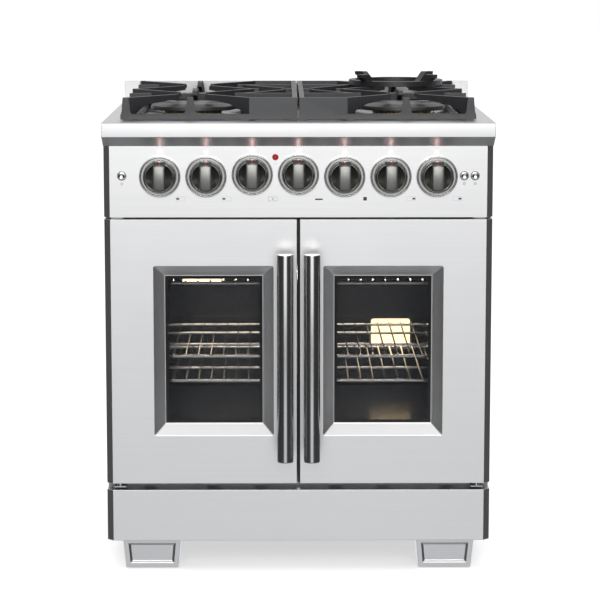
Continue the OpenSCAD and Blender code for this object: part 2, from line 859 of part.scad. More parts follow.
module grate() {
    y0 = grate_y;
    y1 = grate_y + grate_d;
    low = top_z + grate_seat;
    bar_top = top_z + grate_low;
    high = top_z + grate_top;
    half = finger_w / 2;
    foot = foot_w_grate;
    color([0.2, 0.2, 0.21]) {
        // low frame on three sides, and a low bar between the outer burners and the middle one
        for (y = [y0, y1 - bar_w])
            block([plate_half - 1, y, low], [grate_out, y + bar_w, bar_top]);
        block([grate_out - bar_w, y0, low], [grate_out, y1, bar_top]);
        block([plate_half - bar_w, y0, low], [plate_half, y1, bar_top]);
        // bar along the inner edge, and deep plates at its two ends
        block([grate_in, y0, high - inner_bar_h], [grate_in + inner_bar_w, y1, high]);
        for (side = [0, 1]) {
            plate_y = side == 0 ? y0 : y1 - plate_w;
            foot_y = side == 0 ? y0 : y1 - foot;
            block([grate_in, plate_y, low], [plate_half, plate_y + plate_w, high]);
            for (x = [grate_in, plate_half, grate_out - foot])
                block([x, foot_y, top_z + foot_gap], [x + foot, foot_y + foot, low + 1]);
        }
        // low cross bar between the front and back burners, and the post at its inner end
        block([plate_half - 1, grate_mid - half, high - cross_drop - cross_h],
            [grate_out - 1, grate_mid + half, high - cross_drop]);
        block([plate_half - junction_w, grate_mid - half, low], [plate_half, grate_mid + half, high]);
        // stub over the middle burner
        block([grate_in, grate_mid - half, high - inner_bar_h], [middle_stub, grate_mid + half, high]);
        for (side = [-1, 1]) {
            by = grate_mid + side * burner_row;
            edge = side < 0 ? y0 + half : y1 - half;
            // diagonals stop round the burner
            for (corner = [[grate_out - half, edge], [grate_out - half, grate_mid],
                           [plate_half - half, edge], [plate_half - half, grate_mid]]) {
                run = corner - [burner_x, by];
                finger(corner, [burner_x, by] + run * (diagonal_clear / norm(run)));
            }
            // square fingers end over the rim of the cap
            finger([grate_out - half, by], [burner_x + square_clear, by]);
            block([grate_in, by - half, high - row_bar_h], [burner_x - square_clear - tip_h, by + half, high]);
            block([grate_in, by - half, high - tip_h - 3], [burner_x - square_clear, by + half, high]);
            // fingers over the middle burner
            finger([middle_root_x, by], [middle_tip[0], grate_mid + side * middle_tip[1]]);
            flare(burner_x, edge, flare_half, flare_half, flare_top);
            flare(grate_out - post_top / 2, edge, post_top, post_top / 2 + flare_edge - 0.5, post_top / 2);
        }
        // fingers towards the front, one behind each outer burner
        finger([burner_x, grate_mid], [burner_x, grate_mid - burner_row + square_clear]);
        finger([burner_x, y1 - half], [burner_x, grate_mid + burner_row + square_clear]);
        flare(burner_x, grate_mid, flare_half, flare_half, flare_top);
    }
}

module grate_left() { mirror([1, 0, 0]) grate(); }
module grate_right() { grate(); }

wok_rest = 0.3;
wok_ring_h = 11;
wok_ring_w = 14;
lug_w = 15;
lug_reach = 13;

// Ring that holds a round-bottomed pan, on the back right burner, with four hooked lugs
module wok_ring() {
    out = wok_r + lug_reach;
    color([0.16, 0.16, 0.17])
    translate([burner_x, grate_mid + burner_row, top_z + grate_top + wok_rest]) {
        rotate_extrude() translate([wok_r - wok_ring_w, 0]) square([wok_ring_w, wok_ring_h]);
        for (a = [45 : 90 : 315]) rotate([0, 0, a]) translate([0, lug_w / 2, 0]) rotate([90, 0, 0])
            linear_extrude(lug_w)
                polygon([[wok_r - 32, 0], [wok_r - 1, 0], [wok_r + 1, wok_ring_h],
                    [out - 5, wok_lug_h - 8], [out - 1, wok_lug_h - 7], [out, wok_lug_h],
                    [wok_r - 10, wok_lug_h], [wok_r - 32, 4]]);
    }
}

base_neck_r = 27;
base_flange_r = 0.8;
ring_share = 0.68;
base_top = 2;
ring_h = 11;
cap_h = 13;

module burner_bases() {
    color("lightgray") for (b = burners) translate([b[0], b[1], 0]) {
        translate([0, 0, well_z]) cylinder(h = top_z + base_top - well_z, r = b[2] * base_flange_r);
        translate([0, 0, well_z - 30]) cylinder(h = 31, r = base_neck_r);
    }
}

module burner_rings() {
    color("goldenrod") for (b = burners) translate([b[0], b[1], top_z + base_top]) difference() {
        cylinder(h = ring_h, r = b[2] * ring_share);
        translate([0, 0, -1]) cylinder(h = ring_h + 2, r = b[2] * ring_share - 6);
    }
}

module burner_caps() {
    color([0.12, 0.12, 0.13]) for (b = burners) translate([b[0], b[1], top_z + base_top + ring_h]) {
        cylinder(h = cap_h - 5, r = b[2]);
        translate([0, 0, cap_h - 5]) cylinder(h = 5, r1 = b[2], r2 = b[2] - 14);
    }
}

// ---- controls ----

bezel_t = 3;
bezel_rim_h = 9;
bezel_rim_w = 3.5;
knob_back = bezel_t + push_room;

module knob_bezels() {
    color("silver") for (i = [1 : 7]) on_front(knob_x(i), knob_height(i)) difference() {
        cylinder(h = bezel_rim_h, r = bezel_r);
        translate([0, 0, bezel_t]) cylinder(h = bezel_rim_h, r = bezel_r - bezel_rim_w);
        translate([0, 0, -1]) cylinder(h = bezel_t + 2, r = stem_hole_r);
    }
}

stem_front = 34;
grip_l = 50;
skirt_h = 12;
crown_h = 10;

module knob(i) {
    color("dimgray") on_front(knob_x(i), knob_height(i)) difference() {
        union() {
            translate([0, 0, knob_back]) cylinder(h = skirt_h, r = knob_r);
            translate([0, 0, knob_back + skirt_h]) cylinder(h = crown_h, r1 = knob_r, r2 = knob_r - 4);
            translate([0, 0, knob_back]) linear_extrude(knob_out - knob_back) intersection() {
                circle(r = grip_l / 2);
                square([grip_w, grip_l], center = true);
            }
        }
        translate([0, 0, knob_back - 1]) cylinder(h = stem_front + 1 - knob_back + 1, r = stem_r + fit);
    }
}

module knob_1() { knob(1); }
module knob_2() { knob(2); }
module knob_3() { knob(3); }
module knob_4() { knob(4); }
module knob_5() { knob(5); }
module knob_6() { knob(6); }
module knob_7() { knob(7); }

stem_rear = -42;
valve_front = -26;
valve_rear = -78;
valve_w = 30;
valve_h = 40;

// Shaft that a knob turns on and pushes in
module valve_stem(i) {
    color("goldenrod") on_front(knob_x(i), knob_height(i))
        translate([0, 0, stem_rear]) cylinder(h = stem_front - stem_rear, r = stem_r);
}

module valve_stem_1() { valve_stem(1); }
module valve_stem_2() { valve_stem(2); }
module valve_stem_3() { valve_stem(3); }
module valve_stem_4() { valve_stem(4); }
module valve_stem_6() { valve_stem(6); }
module valve_stem_7() { valve_stem(7); }

pipe_y = face_y + 64;
pipe_gap = 0.1;
pipe_x = hw - sheet - pipe_r - 6;
pipe_back_y = back_y - 70;

// Valves saddled on the manifold pipe, which runs back and down to the inlet fitting
module gas_manifold() {
    start = knob_x(1) - 40;
    corner_a = [pipe_x, pipe_y, knob_z];
    corner_b = [pipe_x, pipe_back_y, knob_z];
    corner_c = [pipe_x, pipe_back_y, inlet_z];
    color("goldenrod") {
        rod([start, pipe_y, knob_z], corner_a, pipe_r);
        rod(corner_a, corner_b, pipe_r);
        rod(corner_b, corner_c, pipe_r);
        rod(corner_c, [pipe_x, back_y - 24, inlet_z], pipe_r);
        for (corner = [corner_a, corner_b, corner_c]) translate(corner) sphere(r = pipe_r);
        rod([pipe_x, back_y - 25, inlet_z], [pipe_x, back_y - 4, inlet_z], inlet_r);
        for (i = [1, 2, 3, 4, 6, 7]) difference() {
            on_front(knob_x(i), knob_z) translate([-valve_w / 2, -valve_h / 2, valve_rear])
                cube([valve_w, valve_h, valve_front - valve_rear]);
            rod([knob_x(i) - valve_w, pipe_y, knob_z], [knob_x(i) + valve_w, pipe_y, knob_z], pipe_r + pipe_gap);
            on_front(knob_x(i), knob_height(i)) translate([0, 0, stem_rear - 5])
                cylinder(h = valve_front - stem_rear + 10, r = stem_r + fit);
        }
    }
}

switch_w = 40;
button_travel_room = 2.5;
button_out = 4;
button_in = 8;

// Selector switch with its shaft, and the switches behind the push buttons
module switch_bodies() {
    color("ivory") {
        on_front(knob_x(5), knob_height(5)) {
            translate([-switch_w / 2, -switch_w / 2, -48]) cube([switch_w, switch_w, 22]);
            translate([0, 0, -27]) cylinder(h = stem_front + 27, r = stem_r);
        }
        at_buttons() translate([0, 0, -36]) cylinder(h = 36 - button_in - button_travel_room, r = button_r + 2);
    }
}

module button(x) {
    color("gray") on_front(x, button_z) {
        translate([0, 0, -button_in]) cylinder(h = button_in + button_out, r = button_r);
        translate([0, 0, -button_in]) cylinder(h = 3, r = button_r + 1.6);
    }
}

module button_light() { button(button_left_x); }
module button_fan() { button(button_right_x - button_pitch); }
module button_ignite() { button(button_right_x); }

side_panel_left();
side_panel_right();
back_panel();
base_pan();
front_frame();
kick_panel();
foot_covers();
leveling_legs();
cooktop_tray();
front_rail();
back_guard();
control_panel();
oven_liner();
insulation();
oven_floor();
rack_guides();
rack_top();
rack_middle();
rack_lower();
fan_cover();
convection_fan();
fan_motor();
oven_lamps();
bake_burner();
broil_burner();
door_skin_left();
door_skin_right();
door_liner_left();
door_liner_right();
door_glass_left();
door_glass_right();
handle_left();
handle_right();
door_hinges();
door_seal();
grate_left();
grate_right();
wok_ring();
burner_bases();
burner_rings();
burner_caps();
knob_bezels();
knob_1();
knob_2();
knob_3();
knob_4();
knob_5();
knob_6();
knob_7();
valve_stem_1();
valve_stem_2();
valve_stem_3();
valve_stem_4();
valve_stem_6();
valve_stem_7();
gas_manifold();
switch_bodies();
button_light();
button_fan();
button_ignite();
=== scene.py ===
# Freestanding gas range: finishes, detailed pieces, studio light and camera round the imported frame.
import json
import math

import bmesh
import bpy
from mathutils import Matrix, Vector


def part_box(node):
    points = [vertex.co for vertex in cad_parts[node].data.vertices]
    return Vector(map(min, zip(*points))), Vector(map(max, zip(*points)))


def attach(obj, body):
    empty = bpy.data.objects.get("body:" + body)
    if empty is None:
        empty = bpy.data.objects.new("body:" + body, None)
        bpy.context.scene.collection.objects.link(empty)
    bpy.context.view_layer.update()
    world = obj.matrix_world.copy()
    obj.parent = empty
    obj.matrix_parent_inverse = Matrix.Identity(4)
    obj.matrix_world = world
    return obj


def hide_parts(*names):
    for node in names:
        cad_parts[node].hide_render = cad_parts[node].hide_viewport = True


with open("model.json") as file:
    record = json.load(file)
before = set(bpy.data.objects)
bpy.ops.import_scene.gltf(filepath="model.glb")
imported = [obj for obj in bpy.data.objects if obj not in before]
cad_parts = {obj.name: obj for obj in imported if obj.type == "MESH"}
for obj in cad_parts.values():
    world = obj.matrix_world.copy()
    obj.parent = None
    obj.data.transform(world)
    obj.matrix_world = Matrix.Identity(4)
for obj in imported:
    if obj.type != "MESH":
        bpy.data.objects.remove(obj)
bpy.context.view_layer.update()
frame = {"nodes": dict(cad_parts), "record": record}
print("frame loaded:", len(frame["nodes"]), "nodes")

# camera, light and floor

cameraPlace = {"eye": (-0.032, -4.963, 1.228), "tilt": 8.3, "turn": 0.43, "lens": 143.8, "sensor": 36.0}
studio = {"ahead": 1.40, "sides": 0.045, "behind": 0.95, "above": 0.72, "below": 0.24, "backdrop": 1.0,
          "aheadInner": 13.0, "aheadOuter": 25.0, "topPower": 17.0, "topSize": 3.2, "floorSize": 60.0,
          "bandLow": -0.178, "bandHigh": -0.110, "bandSoft": 0.020, "bandDepth": 0.90, "hazeDim": 0.60,
          "floorGlow": 0.5, "topAt": (0.0, -0.6, 3.6), "frontPower": 90.0, "frontAt": (0.0, -5.5, 2.6),
          "frontSize": (3.0, 1.6)}


def addCamera(place):
    data = bpy.data.cameras.new("view")
    data.lens = place["lens"]
    data.sensor_width = place["sensor"]
    data.clip_end = 200.0
    eye = bpy.data.objects.new("view", data)
    eye.location = place["eye"]
    eye.rotation_euler = (math.radians(90 - place["tilt"]), 0, math.radians(-place["turn"]))
    bpy.context.scene.collection.objects.link(eye)
    bpy.context.scene.camera = eye


addCamera(cameraPlace)


# a socket that does arithmetic, and the one place where nodes are made
class Wire:
    def __init__(self, board, socket):
        self.board = board
        self.socket = socket

    def out(self, label):
        return Wire(self.board, self.socket.node.outputs[label])

    def math(self, operation, first, second=0.0, clamp=False):
        return self.board.add("ShaderNodeMath", {"operation": operation, "use_clamp": clamp},
                              {0: first, 1: second})

    def __add__(self, other):
        return self.math("ADD", self, other)

    def __sub__(self, other):
        return self.math("SUBTRACT", self, other)

    def __rsub__(self, other):
        return self.math("SUBTRACT", other, self)

    def __mul__(self, other):
        return self.math("MULTIPLY", self, other)

    def __truediv__(self, other):
        return self.math("DIVIDE", self, other)

    def __pow__(self, other):
        return self.math("POWER", self, other)

    __radd__ = __add__
    __rmul__ = __mul__

    def clamped(self):
        return self.math("ADD", self, 0.0, True)


class Board:
    def __init__(self, tree):
        self.tree = tree

    def add(self, kind, settings=None, sockets=None, out=0):
        node = self.tree.nodes.new(kind)
        for key, value in (settings or {}).items():
            if key == "stops":
                for stop, (place, colour) in zip(self.stopsFor(node, len(value)), value):
                    stop.position = place
                    stop.color = colour
            else:
                setattr(node, key, value)
        for key, value in (sockets or {}).items():
            if isinstance(value, Wire):
                self.tree.links.new(value.socket, node.inputs[key])
            else:
                node.inputs[key].default_value = value
        return Wire(self, node.outputs[out]) if node.outputs else node

    def stopsFor(self, node, count):
        elements = node.color_ramp.elements
        while len(elements) < count:
            elements.new(0.5)
        return list(elements)

    def blend(self, factor, first, second):
        return self.add("ShaderNodeMix", {"data_type": "RGBA"}, {0: factor, 6: first, 7: second}, out=2)

    def between(self, value, low, high):
        return self.add("ShaderNodeMapRange", {"interpolation_type": "SMOOTHSTEP"},
                        {"Value": value, "From Min": low, "From Max": high})


def addWorld(light):
    # bright ahead and above, dim to the sides, so that bevels and tubes read as polished steel
    world = bpy.data.worlds.new("studio")
    world.use_nodes = True
    world.node_tree.nodes.clear()
    board = Board(world.node_tree)
    way = board.add("ShaderNodeSeparateXYZ", sockets={0: board.add("ShaderNodeTexCoord", out="Generated")})
    x, y, z = way.out("X"), way.out("Y"), way.out("Z")
    level = (x * x + y * y + 0.0001) ** 0.5
    towards = (y * -1.0) / level
    ahead = board.between(towards, math.cos(math.radians(light["aheadOuter"])),
                          math.cos(math.radians(light["aheadInner"])))
    behind = board.between(y / level, 0.2, 0.8)
    above = board.between(z, 0.3, 0.62)
    below = board.between(z * -1.0, 0.3, 0.7)
    # a dark strip low ahead keeps the upper windows clear, and a dim haze lies under it
    soft = light["bandSoft"]
    under = 1.0 - board.between(z, light["bandLow"] - soft, light["bandLow"])
    strip = (1.0 - under) * (1.0 - board.between(z, light["bandHigh"], light["bandHigh"] + soft))
    front = ahead * (1.0 - strip * light["bandDepth"]) * (1.0 - under * (1.0 - light["hazeDim"]))
    sides = light["sides"]
    ring = sides + behind * (light["behind"] - sides) + front * (light["ahead"] - sides)
    tone = ring * (1.0 - above) * (1.0 - below) + above * light["above"] + below * light["below"]
    seen = board.add("ShaderNodeLightPath", out="Is Camera Ray")
    green, blue = tone * (1.0 + under * 0.02), tone * (1.005 + under * 0.05)
    shade = board.add("ShaderNodeCombineColor", sockets={0: tone, 1: green, 2: blue})
    white = (light["backdrop"], light["backdrop"], light["backdrop"], 1)
    colour = board.blend(seen, shade, white)
    light = board.add("ShaderNodeBackground", sockets={"Color": colour})
    board.add("ShaderNodeOutputWorld", sockets={"Surface": light})
    bpy.context.scene.world = world


def addLamp(name, place, target, size, power, tint=(1, 1, 1)):
    data = bpy.data.lights.new(name, "AREA")
    data.shape = "RECTANGLE"
    data.size = size[0]
    data.size_y = size[1]
    data.energy = power
    data.color = tint
    lamp = bpy.data.objects.new(name, data)
    lamp.location = place
    lamp.rotation_euler = (Vector(target) - Vector(place)).to_track_quat("-Z", "Y").to_euler()
    bpy.context.scene.collection.objects.link(lamp)
    return lamp


def newMaterial(name):
    material = bpy.data.materials.new(name)
    material.use_nodes = True
    material.node_tree.nodes.clear()
    return material, Board(material.node_tree)


def surface(board, values):
    shader = board.add("ShaderNodeBsdfPrincipled", sockets=values)
    board.add("ShaderNodeOutputMaterial", sockets={"Surface": shader})


def addFloor(size):
    material, board = newMaterial("studio_floor")
    surface(board, {"Base Color": (0.93, 0.93, 0.93, 1), "Roughness": 0.8, "Specular IOR Level": 0.1,
                    "Emission Color": (1, 1, 1, 1), "Emission Strength": studio["floorGlow"]})
    data = bpy.data.meshes.new("studio_floor")
    half = size / 2
    data.from_pydata([(-half, -half, 0), (half, -half, 0), (half, half, 0), (-half, half, 0)], [],
                     [(0, 1, 2, 3)])
    data.materials.append(material)
    floor = bpy.data.objects.new("studio_floor", data)
    bpy.context.scene.collection.objects.link(floor)
    floor.visible_glossy = False


addWorld(studio)
addLamp("top", studio["topAt"], (0, 0, 0.5), (studio["topSize"], studio["topSize"]), studio["topPower"])
addLamp("front", studio["frontAt"], (0, 0, 0.4), studio["frontSize"], studio["frontPower"])
addFloor(studio["floorSize"])
view = bpy.context.scene.view_settings
view.view_transform = "Standard"
bpy.context.scene.cycles.use_denoising = True
print("studio ready")

# finishes


def objectPlace(board, stretch=(1, 1, 1)):
    place = board.add("ShaderNodeTexCoord", out="Object")
    return board.add("ShaderNodeVectorMath", {"operation": "MULTIPLY"}, {0: place, 1: stretch})


def noise(board, stretch, detail=2.0, rough=0.5):
    # stretch is one number for an even grain, or three for a drawn-out one
    place = objectPlace(board, stretch if isinstance(stretch, tuple) else (stretch,) * 3)
    values = {"Vector": place, "Scale": 1.0, "Detail": detail, "Roughness": rough}
    return board.add("ShaderNodeTexNoise", sockets=values)


def relief(board, strength, depth, height):
    return board.add("ShaderNodeBump", sockets={"Strength": strength, "Distance": depth, "Height": height})


def cellsOf(board, scale, out=0):
    place = objectPlace(board, (scale,) * 3)
    return board.add("ShaderNodeTexVoronoi", sockets={"Vector": place, "Scale": 1.0}, out=out)


def grey(level):
    return (level, level, level, 1)


def brushedSteel(name, grain, tone=0.80, rough=0.25, depth=0.00003):
    # fine lines along the grain, a slow cloud of tone, and a trace of handling in the gloss
    material, board = newMaterial(name)
    lines = noise(board, grain, 3.0, 0.7)
    cloud = noise(board, 2.2, 2.0)
    smear = noise(board, 14, 4.0, 0.6)
    mix = lines * 0.55 + cloud * 0.45
    colour = board.blend(mix, (tone * 0.90, tone * 0.90, tone * 0.905, 1),
                         (tone * 1.07, tone * 1.07, tone * 1.065, 1))
    bump = relief(board, 0.35, depth, lines)
    surface(board, {"Base Color": colour, "Metallic": 1.0,
                    "Roughness": rough + (lines - 0.5) * 0.12 + (smear - 0.5) * 0.06,
                    "Normal": bump})
    return material


def castIron(name, low, high, rough):
    # sand-cast pits, with the sharp convex edges painted paler as a painted highlight
    material, board = newMaterial(name)
    pits = noise(board, 900, 3.0, 0.6)
    lumps = noise(board, 90, 3.0)
    edgePointiness = board.add("ShaderNodeNewGeometry", out="Pointiness")
    edge = board.between(edgePointiness, 0.51, 0.60)
    colour = board.blend((lumps * 0.6 + pits * 0.4).clamped(), low, high)
    # painted highlight: convex edges, found by pointiness, blended towards a paler iron
    colour = board.blend(edge * 0.5, colour, tuple(min(1.0, c * 1.5) for c in high[:3]) + (1,))
    bump = relief(board, 0.6, 0.0004, pits * 0.7 + lumps * 0.5)
    surface(board, {"Base Color": colour, "Roughness": rough + (lumps - 0.5) * 0.2,
                    "Specular IOR Level": 0.75,
                    "Normal": bump})
    return material


def polished(name, colour, rough, metallic=1.0, scuff=0.06, scale=120.0):
    material, board = newMaterial(name)
    marks = noise(board, scale, 4.0, 0.6)
    haze = noise(board, scale / 8, 2.0)
    dark = tuple(c * 0.88 for c in colour) + (1,)
    tone = board.blend(haze, dark, colour + (1,))
    bump = relief(board, 0.15, 0.00005, marks)
    surface(board, {"Base Color": tone, "Metallic": metallic, "Roughness": rough + (marks - 0.5) * scuff,
                    "Normal": bump})
    return material


def enamel(name, ground, fleck, amount, rough=0.16):
    # fired enamel: dark ground with small pale flecks and a faint orange-peel
    material, board = newMaterial(name)
    cells = cellsOf(board, 420)
    fine = noise(board, 260, 2.0)
    dots = board.between(cells * -1.0 + fine * 0.35, amount - 0.06, amount + 0.03)
    peel = noise(board, 140, 2.0)
    tone = board.blend(dots, ground + (1,), fleck + (1,))
    bump = relief(board, 0.2, 0.0002, peel)
    surface(board, {"Base Color": tone, "Roughness": rough + peel * 0.1, "Coat Weight": 0.3,
                    "Coat Roughness": 0.1,
                    "Normal": bump})
    return material


def galvanised(name):
    # zinc spangle in flat crystals
    material, board = newMaterial(name)
    cells = cellsOf(board, 70, "Color")
    crystal = board.add("ShaderNodeSeparateColor", sockets={0: cells})
    dust = noise(board, 30, 4.0)
    tone = board.blend(crystal * 0.7 + dust * 0.3, grey(0.42), grey(0.66))
    surface(board, {"Base Color": tone, "Metallic": 0.9, "Roughness": 0.38 + crystal * 0.14})
    return material


def plainMatte(name, colour, rough, bumpScale, bumpDepth, sheen=0.0):
    # moulded, woven or painted matter with its own small grain
    material, board = newMaterial(name)
    grain = noise(board, bumpScale, 4.0, 0.65)
    cloud = noise(board, bumpScale / 20, 2.0)
    dark = tuple(c * 0.8 for c in colour) + (1,)
    tone = board.blend(grain * 0.5 + cloud * 0.5, dark, colour + (1,))
    bump = relief(board, 0.5, bumpDepth, grain)
    surface(board, {"Base Color": tone, "Roughness": rough + (cloud - 0.5) * 0.15, "Normal": bump,
                    "Sheen Weight": sheen})
    return material


def paneGlass(name, tint, cover):
    # clear pane with a faint tint and a film that only the gloss shows
    material, board = newMaterial(name)
    film = noise(board, 60, 3.0)
    surface(board, {"Base Color": tint + (1,), "Roughness": film * 0.04 + 0.02, "Alpha": cover})
    return material


def glowing(name, colour, strength, base=(0.8, 0.8, 0.8)):
    # a lens lit from behind, its glow varied by a faint ripple
    material, board = newMaterial(name)
    ripple = noise(board, 160, 2.0)
    tone = board.blend(ripple, tuple(c * 0.75 for c in colour) + (1,), colour + (1,))
    surface(board, {"Base Color": base + (1,), "Roughness": 0.25, "Emission Color": tone,
                    "Emission Strength": strength})
    return material


finish = {
    "steelAcross": brushedSteel("steel_across", (3, 700, 700), rough=0.31, depth=0.00005),
    # a darker copy of the front's brushed steel, as painted shade on the rail, guard and cooktop tray
    "steelTopShaded": brushedSteel("steel_top_shaded", (3, 700, 700), tone=0.66, rough=0.42, depth=0.00006),
    "steelDeep": brushedSteel("steel_deep", (700, 3, 700), tone=0.74),
    "steelHandle": brushedSteel("steel_handle", (900, 900, 6), tone=0.62, rough=0.2),
    "zinc": galvanised("zinc_sheet"),
    "blackSteel": plainMatte("black_coated_steel", (0.05, 0.05, 0.052), 0.45, 500, 0.0001),
    "frameGrey": polished("frame_grey", (0.30, 0.30, 0.30), 0.42, 0.7),
    "enamel": enamel("oven_enamel", (0.012, 0.012, 0.014), (0.14, 0.14, 0.15), 0.09),
    "grateIron": castIron("grate_iron", (0.012, 0.0125, 0.014, 1), (0.036, 0.037, 0.041, 1), 0.46),
    "capIron": castIron("cap_iron", (0.012, 0.012, 0.013, 1), (0.030, 0.030, 0.032, 1), 0.42),
    "chrome": polished("bright_chrome", (0.78, 0.78, 0.78), 0.12),
    "wire": polished("rack_wire", (0.62, 0.61, 0.59), 0.22),
    "knobMetal": polished("knob_metal", (0.40, 0.40, 0.38), 0.26),
    "gripMetal": polished("knob_grip", (0.24, 0.24, 0.23), 0.40),
    "lampSleeve": plainMatte("igniter_ceramic", (0.75, 0.74, 0.70), 0.35, 300, 0.00005),
    "bezel": polished("knob_bezel", (0.50, 0.50, 0.49), 0.14),
    "brass": polished("burner_brass", (0.62, 0.45, 0.20), 0.3, 1.0, 0.15),
    "aluminium": polished("burner_aluminium", (0.55, 0.55, 0.55), 0.42, 1.0, 0.15),
    "glass": paneGlass("door_glass", (0.03, 0.034, 0.040), 0.10),
    "frit": polished("black_frit", (0.006, 0.006, 0.007), 0.12, 0.0),
    "lampGlass": glowing("oven_lamp_glass", (1.0, 0.74, 0.40), 3.0),
    "wool": plainMatte("mineral_wool", (0.72, 0.62, 0.34), 0.95, 300, 0.002, 0.3),
    "tile": plainMatte("broil_tile", (0.56, 0.46, 0.36), 0.8, 400, 0.0005),
    "rubber": plainMatte("black_rubber", (0.02, 0.02, 0.021), 0.7, 600, 0.0001),
    "plastic": plainMatte("switch_plastic", (0.62, 0.60, 0.55), 0.5, 400, 0.0001),
    "redJewel": glowing("red_jewel", (0.8, 0.02, 0.04), 0.16, (0.26, 0.008, 0.014)),
    "knobGlow": glowing("knob_glow", (1.0, 0.50, 0.46), 0.7),
    "redMark": plainMatte("red_mark", (0.55, 0.02, 0.03), 0.4, 300, 0.00005),
    "ink": plainMatte("dark_ink", (0.03, 0.03, 0.03), 0.5, 300, 0.00002),
    "paleInk": plainMatte("pale_ink", (0.42, 0.42, 0.42), 0.5, 300, 0.00002),
}
print("finishes ready:", len(finish))

# making pieces


class Form:
    def __init__(self):
        self.mesh = bmesh.new()

    def skin(self, loops, closed=True, caps=(True, True)):
        # joins loops of equal length with four-sided faces
        rows = [[self.mesh.verts.new(point) for point in loop] for loop in loops]
        count = len(rows[0])
        for near, far in zip(rows, rows[1:]):
            for i in range(count if closed else count - 1):
                j = (i + 1) % count
                self.mesh.faces.new((near[i], near[j], far[j], far[i]))
        if caps[0]:
            self.mesh.faces.new(rows[0][::-1])
        if caps[1]:
            self.mesh.faces.new(rows[-1])

    def turn(self, profile, place, steps=64):
        # a profile of (radius, height) turned about the place's own Z
        loops = []
        for radius, height in profile:
            loops.append([place @ Vector((radius * math.cos(a), radius * math.sin(a), height))
                          for a in (2 * math.pi * i / steps for i in range(steps))])
        self.skin(loops, caps=(profile[0][0] > 0, profile[-1][0] > 0))

    def tube(self, path, radius, sides=12, caps=True):
        points = [Vector(p) for p in path]
        loops = []
        side = None
        for i, point in enumerate(points):
            way = (points[min(i + 1, len(points) - 1)] - points[max(i - 1, 0)]).normalized()
            if side is None:
                side = way.orthogonal().normalized()
            side = (side - way * side.dot(way)).normalized()
            other = way.cross(side)
            loops.append([point + (side * math.cos(a) + other * math.sin(a)) * radius
                          for a in (2 * math.pi * k / sides for k in range(sides))])
        self.skin(loops, caps=(caps, caps))

    def block(self, low, high):
        x0, y0, z0 = low
        x1, y1, z1 = high
        self.skin([[(x0, y0, z), (x1, y0, z), (x1, y1, z), (x0, y1, z)] for z in (z0, z1)])

    def merge(self, distance):
        bmesh.ops.remove_doubles(self.mesh, verts=self.mesh.verts, dist=distance)

    def mirror(self):
        bmesh.ops.scale(self.mesh, vec=(-1, 1, 1), verts=self.mesh.verts)


def linkPiece(name, data, material, body, replaced=(), bevel=0.0, smooth=35, steps=2):
    piece = bpy.data.objects.new(name, data)
    bpy.context.scene.collection.objects.link(piece)
    if material:
        data.materials.clear()
        data.materials.append(material)
    data.shade_smooth()
    data.set_sharp_from_angle(angle=math.radians(smooth))
    if bevel:
        edges = piece.modifiers.new("edges", "BEVEL")
        edges.width = bevel
        edges.segments = steps
        edges.limit_method = "ANGLE"
        edges.angle_limit = math.radians(30)
        edges.use_clamp_overlap = True
        edges.harden_normals = True
    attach(piece, body)
    if replaced:
        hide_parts(*replaced)
    return piece


def makePiece(name, form, coat, body, replaced=(), bevel=0.0, smooth=35, outward=True, steps=2):
    form.merge(0.000002)
    if outward:
        bmesh.ops.recalc_face_normals(form.mesh, faces=form.mesh.faces)
    data = bpy.data.meshes.new(name)
    form.mesh.to_mesh(data)
    form.mesh.free()
    return linkPiece(name, data, finish[coat], body, replaced, bevel, smooth, steps)


def cadForm(node):
    form = Form()
    form.mesh.from_mesh(frame["nodes"][node].data)
    form.merge(0.00002)
    bmesh.ops.dissolve_limit(form.mesh, angle_limit=math.radians(0.5), verts=form.mesh.verts,
                             edges=form.mesh.edges)
    return form


def at(x, y, z):
    return Matrix.Translation((x, y, z))


def facing(x, z, y):
    # a place whose own Z points out of the front, with X to the right and Y up
    return at(x, y, z) @ Matrix.Rotation(math.radians(90), 4, "X")


def roundedLoop(x0, x1, z0, z1, radius, y, steps=6):
    points = []
    corners = ((x1 - radius, z1 - radius, 0), (x0 + radius, z1 - radius, 90),
               (x0 + radius, z0 + radius, 180), (x1 - radius, z0 + radius, 270))
    for cx, cz, start in corners:
        for i in range(steps + 1):
            a = math.radians(start + 90 * i / steps)
            points.append((cx + radius * math.cos(a), y, cz + radius * math.sin(a)))
    return points


def bend(points, radius, steps=5):
    # rounds the corners of a path
    path = [Vector(points[0])]
    for before, corner, after in zip(points, points[1:], points[2:]):
        corner = Vector(corner)
        back = (Vector(before) - corner).normalized()
        on = (Vector(after) - corner).normalized()
        for i in range(steps + 1):
            t = i / steps
            start, end = corner + back * radius, corner + on * radius
            path.append(start * (1 - t) ** 2 + corner * 2 * t * (1 - t) + end * t ** 2)
    path.append(Vector(points[-1]))
    return path


def sideName(side):
    return "right" if side > 0 else "left"


# geometry trees for what repeats


def newTree(name, inputs):
    tree = bpy.data.node_groups.new(name, "GeometryNodeTree")
    tree.interface.new_socket("Geometry", in_out="INPUT", socket_type="NodeSocketGeometry")
    for label, kind in inputs.items():
        tree.interface.new_socket(label, in_out="INPUT", socket_type="NodeSocket" + kind)
    tree.interface.new_socket("Geometry", in_out="OUTPUT", socket_type="NodeSocketGeometry")
    board = Board(tree)
    return tree, board, board.add("NodeGroupInput")


def closeTree(board, given, geometry):
    real = board.add("GeometryNodeRealizeInstances", sockets={0: geometry})
    painted = board.add("GeometryNodeSetMaterial", sockets={"Geometry": real,
                                                            "Material": given.out("Material")})
    board.add("NodeGroupOutput", sockets={0: painted})


